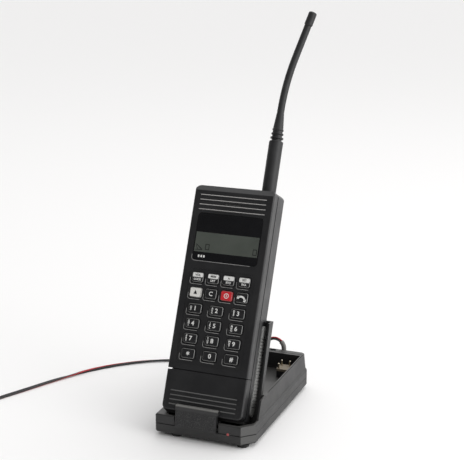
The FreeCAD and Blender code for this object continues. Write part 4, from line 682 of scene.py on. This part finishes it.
def lettering(name, text, size, look, key, across=0.0, up=0.0, out=0.0, stroke=THIN_STROKE):
    """Set raised lettering on a key, its middle at the given place in millimetres from the key's."""
    body = "button_" + key
    data = bpy.data.curves.new(name, "FONT")
    data.body = text
    data.size = size * MM
    data.align_x = "CENTER"
    data.align_y = "CENTER"
    data.extrude = LETTER_DEPTH * MM
    data.offset = stroke * MM
    data.space_line = 0.8
    item = bpy.data.objects.new(name, data)
    bpy.context.scene.collection.objects.link(item)
    item.matrix_world = Matrix.Translation(key_place("key_" + key)(across, up, out)) @ FACE.to_4x4()
    item.data.materials.append(look.material)
    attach(item, body)


def key_mark(name, outlines, look, key):
    """Print flat outlines on a key."""
    thin_plate(name, outlines, look, key_place("key_" + key), "button_" + key)


for key, letters in LETTERS.items():
    digit = DIGIT_TEXT.get(key, key)
    lettering("Digit_" + key, digit, DIGIT_SIZE, print_white, key, DIGIT_ASIDE, stroke=BOLD_STROKE)
    if letters:
        lettering("Letters_" + key, "\n".join(letters), LETTER_SIZE, print_white, key, LETTERS_ASIDE)
for key, (upper, lower) in MENU_WORDS.items():
    key_mark("Label_" + key, [LABEL_OUTLINE], print_white, key)
    lettering("Upper_" + key, upper, WORD_SIZE, print_black, key, up=WORD_RISE, out=LABEL_WORD_LIFT)
    lettering("Lower_" + key, lower, WORD_SIZE, print_white, key, up=-WORD_RISE)

STAR_ARM = [bar(-0.35, -1.7, 0.35, 1.7)]
POWER_RING = ring_bits(0, 0, 1.7, 2.3, 0, 360, 24)
POWER_STROKE = bar(-0.3, -1.1, 0.3, 1.2)
HANDSET = ring_bits(0, -3.2, 3.3, 4.9, 35, 145) + [bar(-4.4, -2.3, -2.4, 0.3), bar(2.4, -2.3, 4.4, 0.3)]
HANDSET_TURN = -20
key_mark("StarMark", STAR_ARM + turned(STAR_ARM, 60) + turned(STAR_ARM, 120), print_white, "star")
key_mark("ShiftMark", [[(-1.7, -1.6), (1.7, -1.6), (0, 2.2)]], print_black, "shift")
lettering("ClearMark", "C", DIGIT_SIZE, print_white, "clear")
key_mark("PowerMark", POWER_RING + [POWER_STROKE], print_white, "power")
key_mark("CallMark", turned(HANDSET, HANDSET_TURN), print_white, "call")


# ------------------------------------------------------------------ stage and light

FLOOR_REACH = 6.0
floor_corners = [(-FLOOR_REACH, -FLOOR_REACH, 0), (FLOOR_REACH, -FLOOR_REACH, 0),
                 (FLOOR_REACH, FLOOR_REACH, 0), (-FLOOR_REACH, FLOOR_REACH, 0)]
floor_data = bpy.data.meshes.new("Floor")
floor_data.from_pydata(floor_corners, [], [(0, 1, 2, 3)])
floor = bpy.data.objects.new("Floor", floor_data)
bpy.context.scene.collection.objects.link(floor)
dress(floor, Shader("FloorPaper", (0.9, 0.893, 0.89), 0.9))

# The studio is dim at the front left and bright at the rear right, where the light comes from.
BRIGHT_SIDE = Vector((0.6, 0.75, 0.3)).normalized()
DIM, BRIGHT = 0.1, 1.46
RAMP_END = 0.7


def light_studio():
    """Light the scene from all round with white light that grows towards the bright side."""
    world = bpy.data.worlds.new("Studio")
    world.use_nodes = True
    bpy.context.scene.world = world
    tree = world.node_tree
    background = tree.nodes["Background"]
    background.inputs["Color"].default_value = (1.0, 1.0, 1.0, 1.0)
    direction = tree.nodes.new("ShaderNodeTexCoord")
    toward = tree.nodes.new("ShaderNodeVectorMath")
    toward.operation = "DOT_PRODUCT"
    toward.inputs[1].default_value = BRIGHT_SIDE
    tree.links.new(direction.outputs["Generated"], toward.inputs[0])
    ramp = tree.nodes.new("ShaderNodeMapRange")
    ends = {"From Min": -RAMP_END, "From Max": RAMP_END, "To Min": DIM, "To Max": BRIGHT}
    for name, number in ends.items():
        ramp.inputs[name].default_value = number
    tree.links.new(toward.outputs["Value"], ramp.inputs["Value"])
    tree.links.new(ramp.outputs["Result"], background.inputs["Strength"])


def softbox(name, spot, width, height, power):
    """Hang a rectangular light that looks at the object's lower part; metres and watts."""
    data = bpy.data.lights.new(name, "AREA")
    data.shape = "RECTANGLE"
    data.size = width
    data.size_y = height
    data.energy = power
    item = bpy.data.objects.new(name, data)
    item.location = spot
    item.rotation_mode = "QUATERNION"
    item.rotation_quaternion = (Vector((0, 0, 0.1)) - Vector(spot)).to_track_quat("-Z", "Y")
    bpy.context.scene.collection.objects.link(item)


light_studio()
softbox("TopBox", (0.4, 0.7, 1.6), 1.2, 0.9, 4)
softbox("RightBox", (1.7, -0.3, 0.7), 1.2, 1.0, 9)

bpy.context.scene.view_settings.view_transform = "Standard"
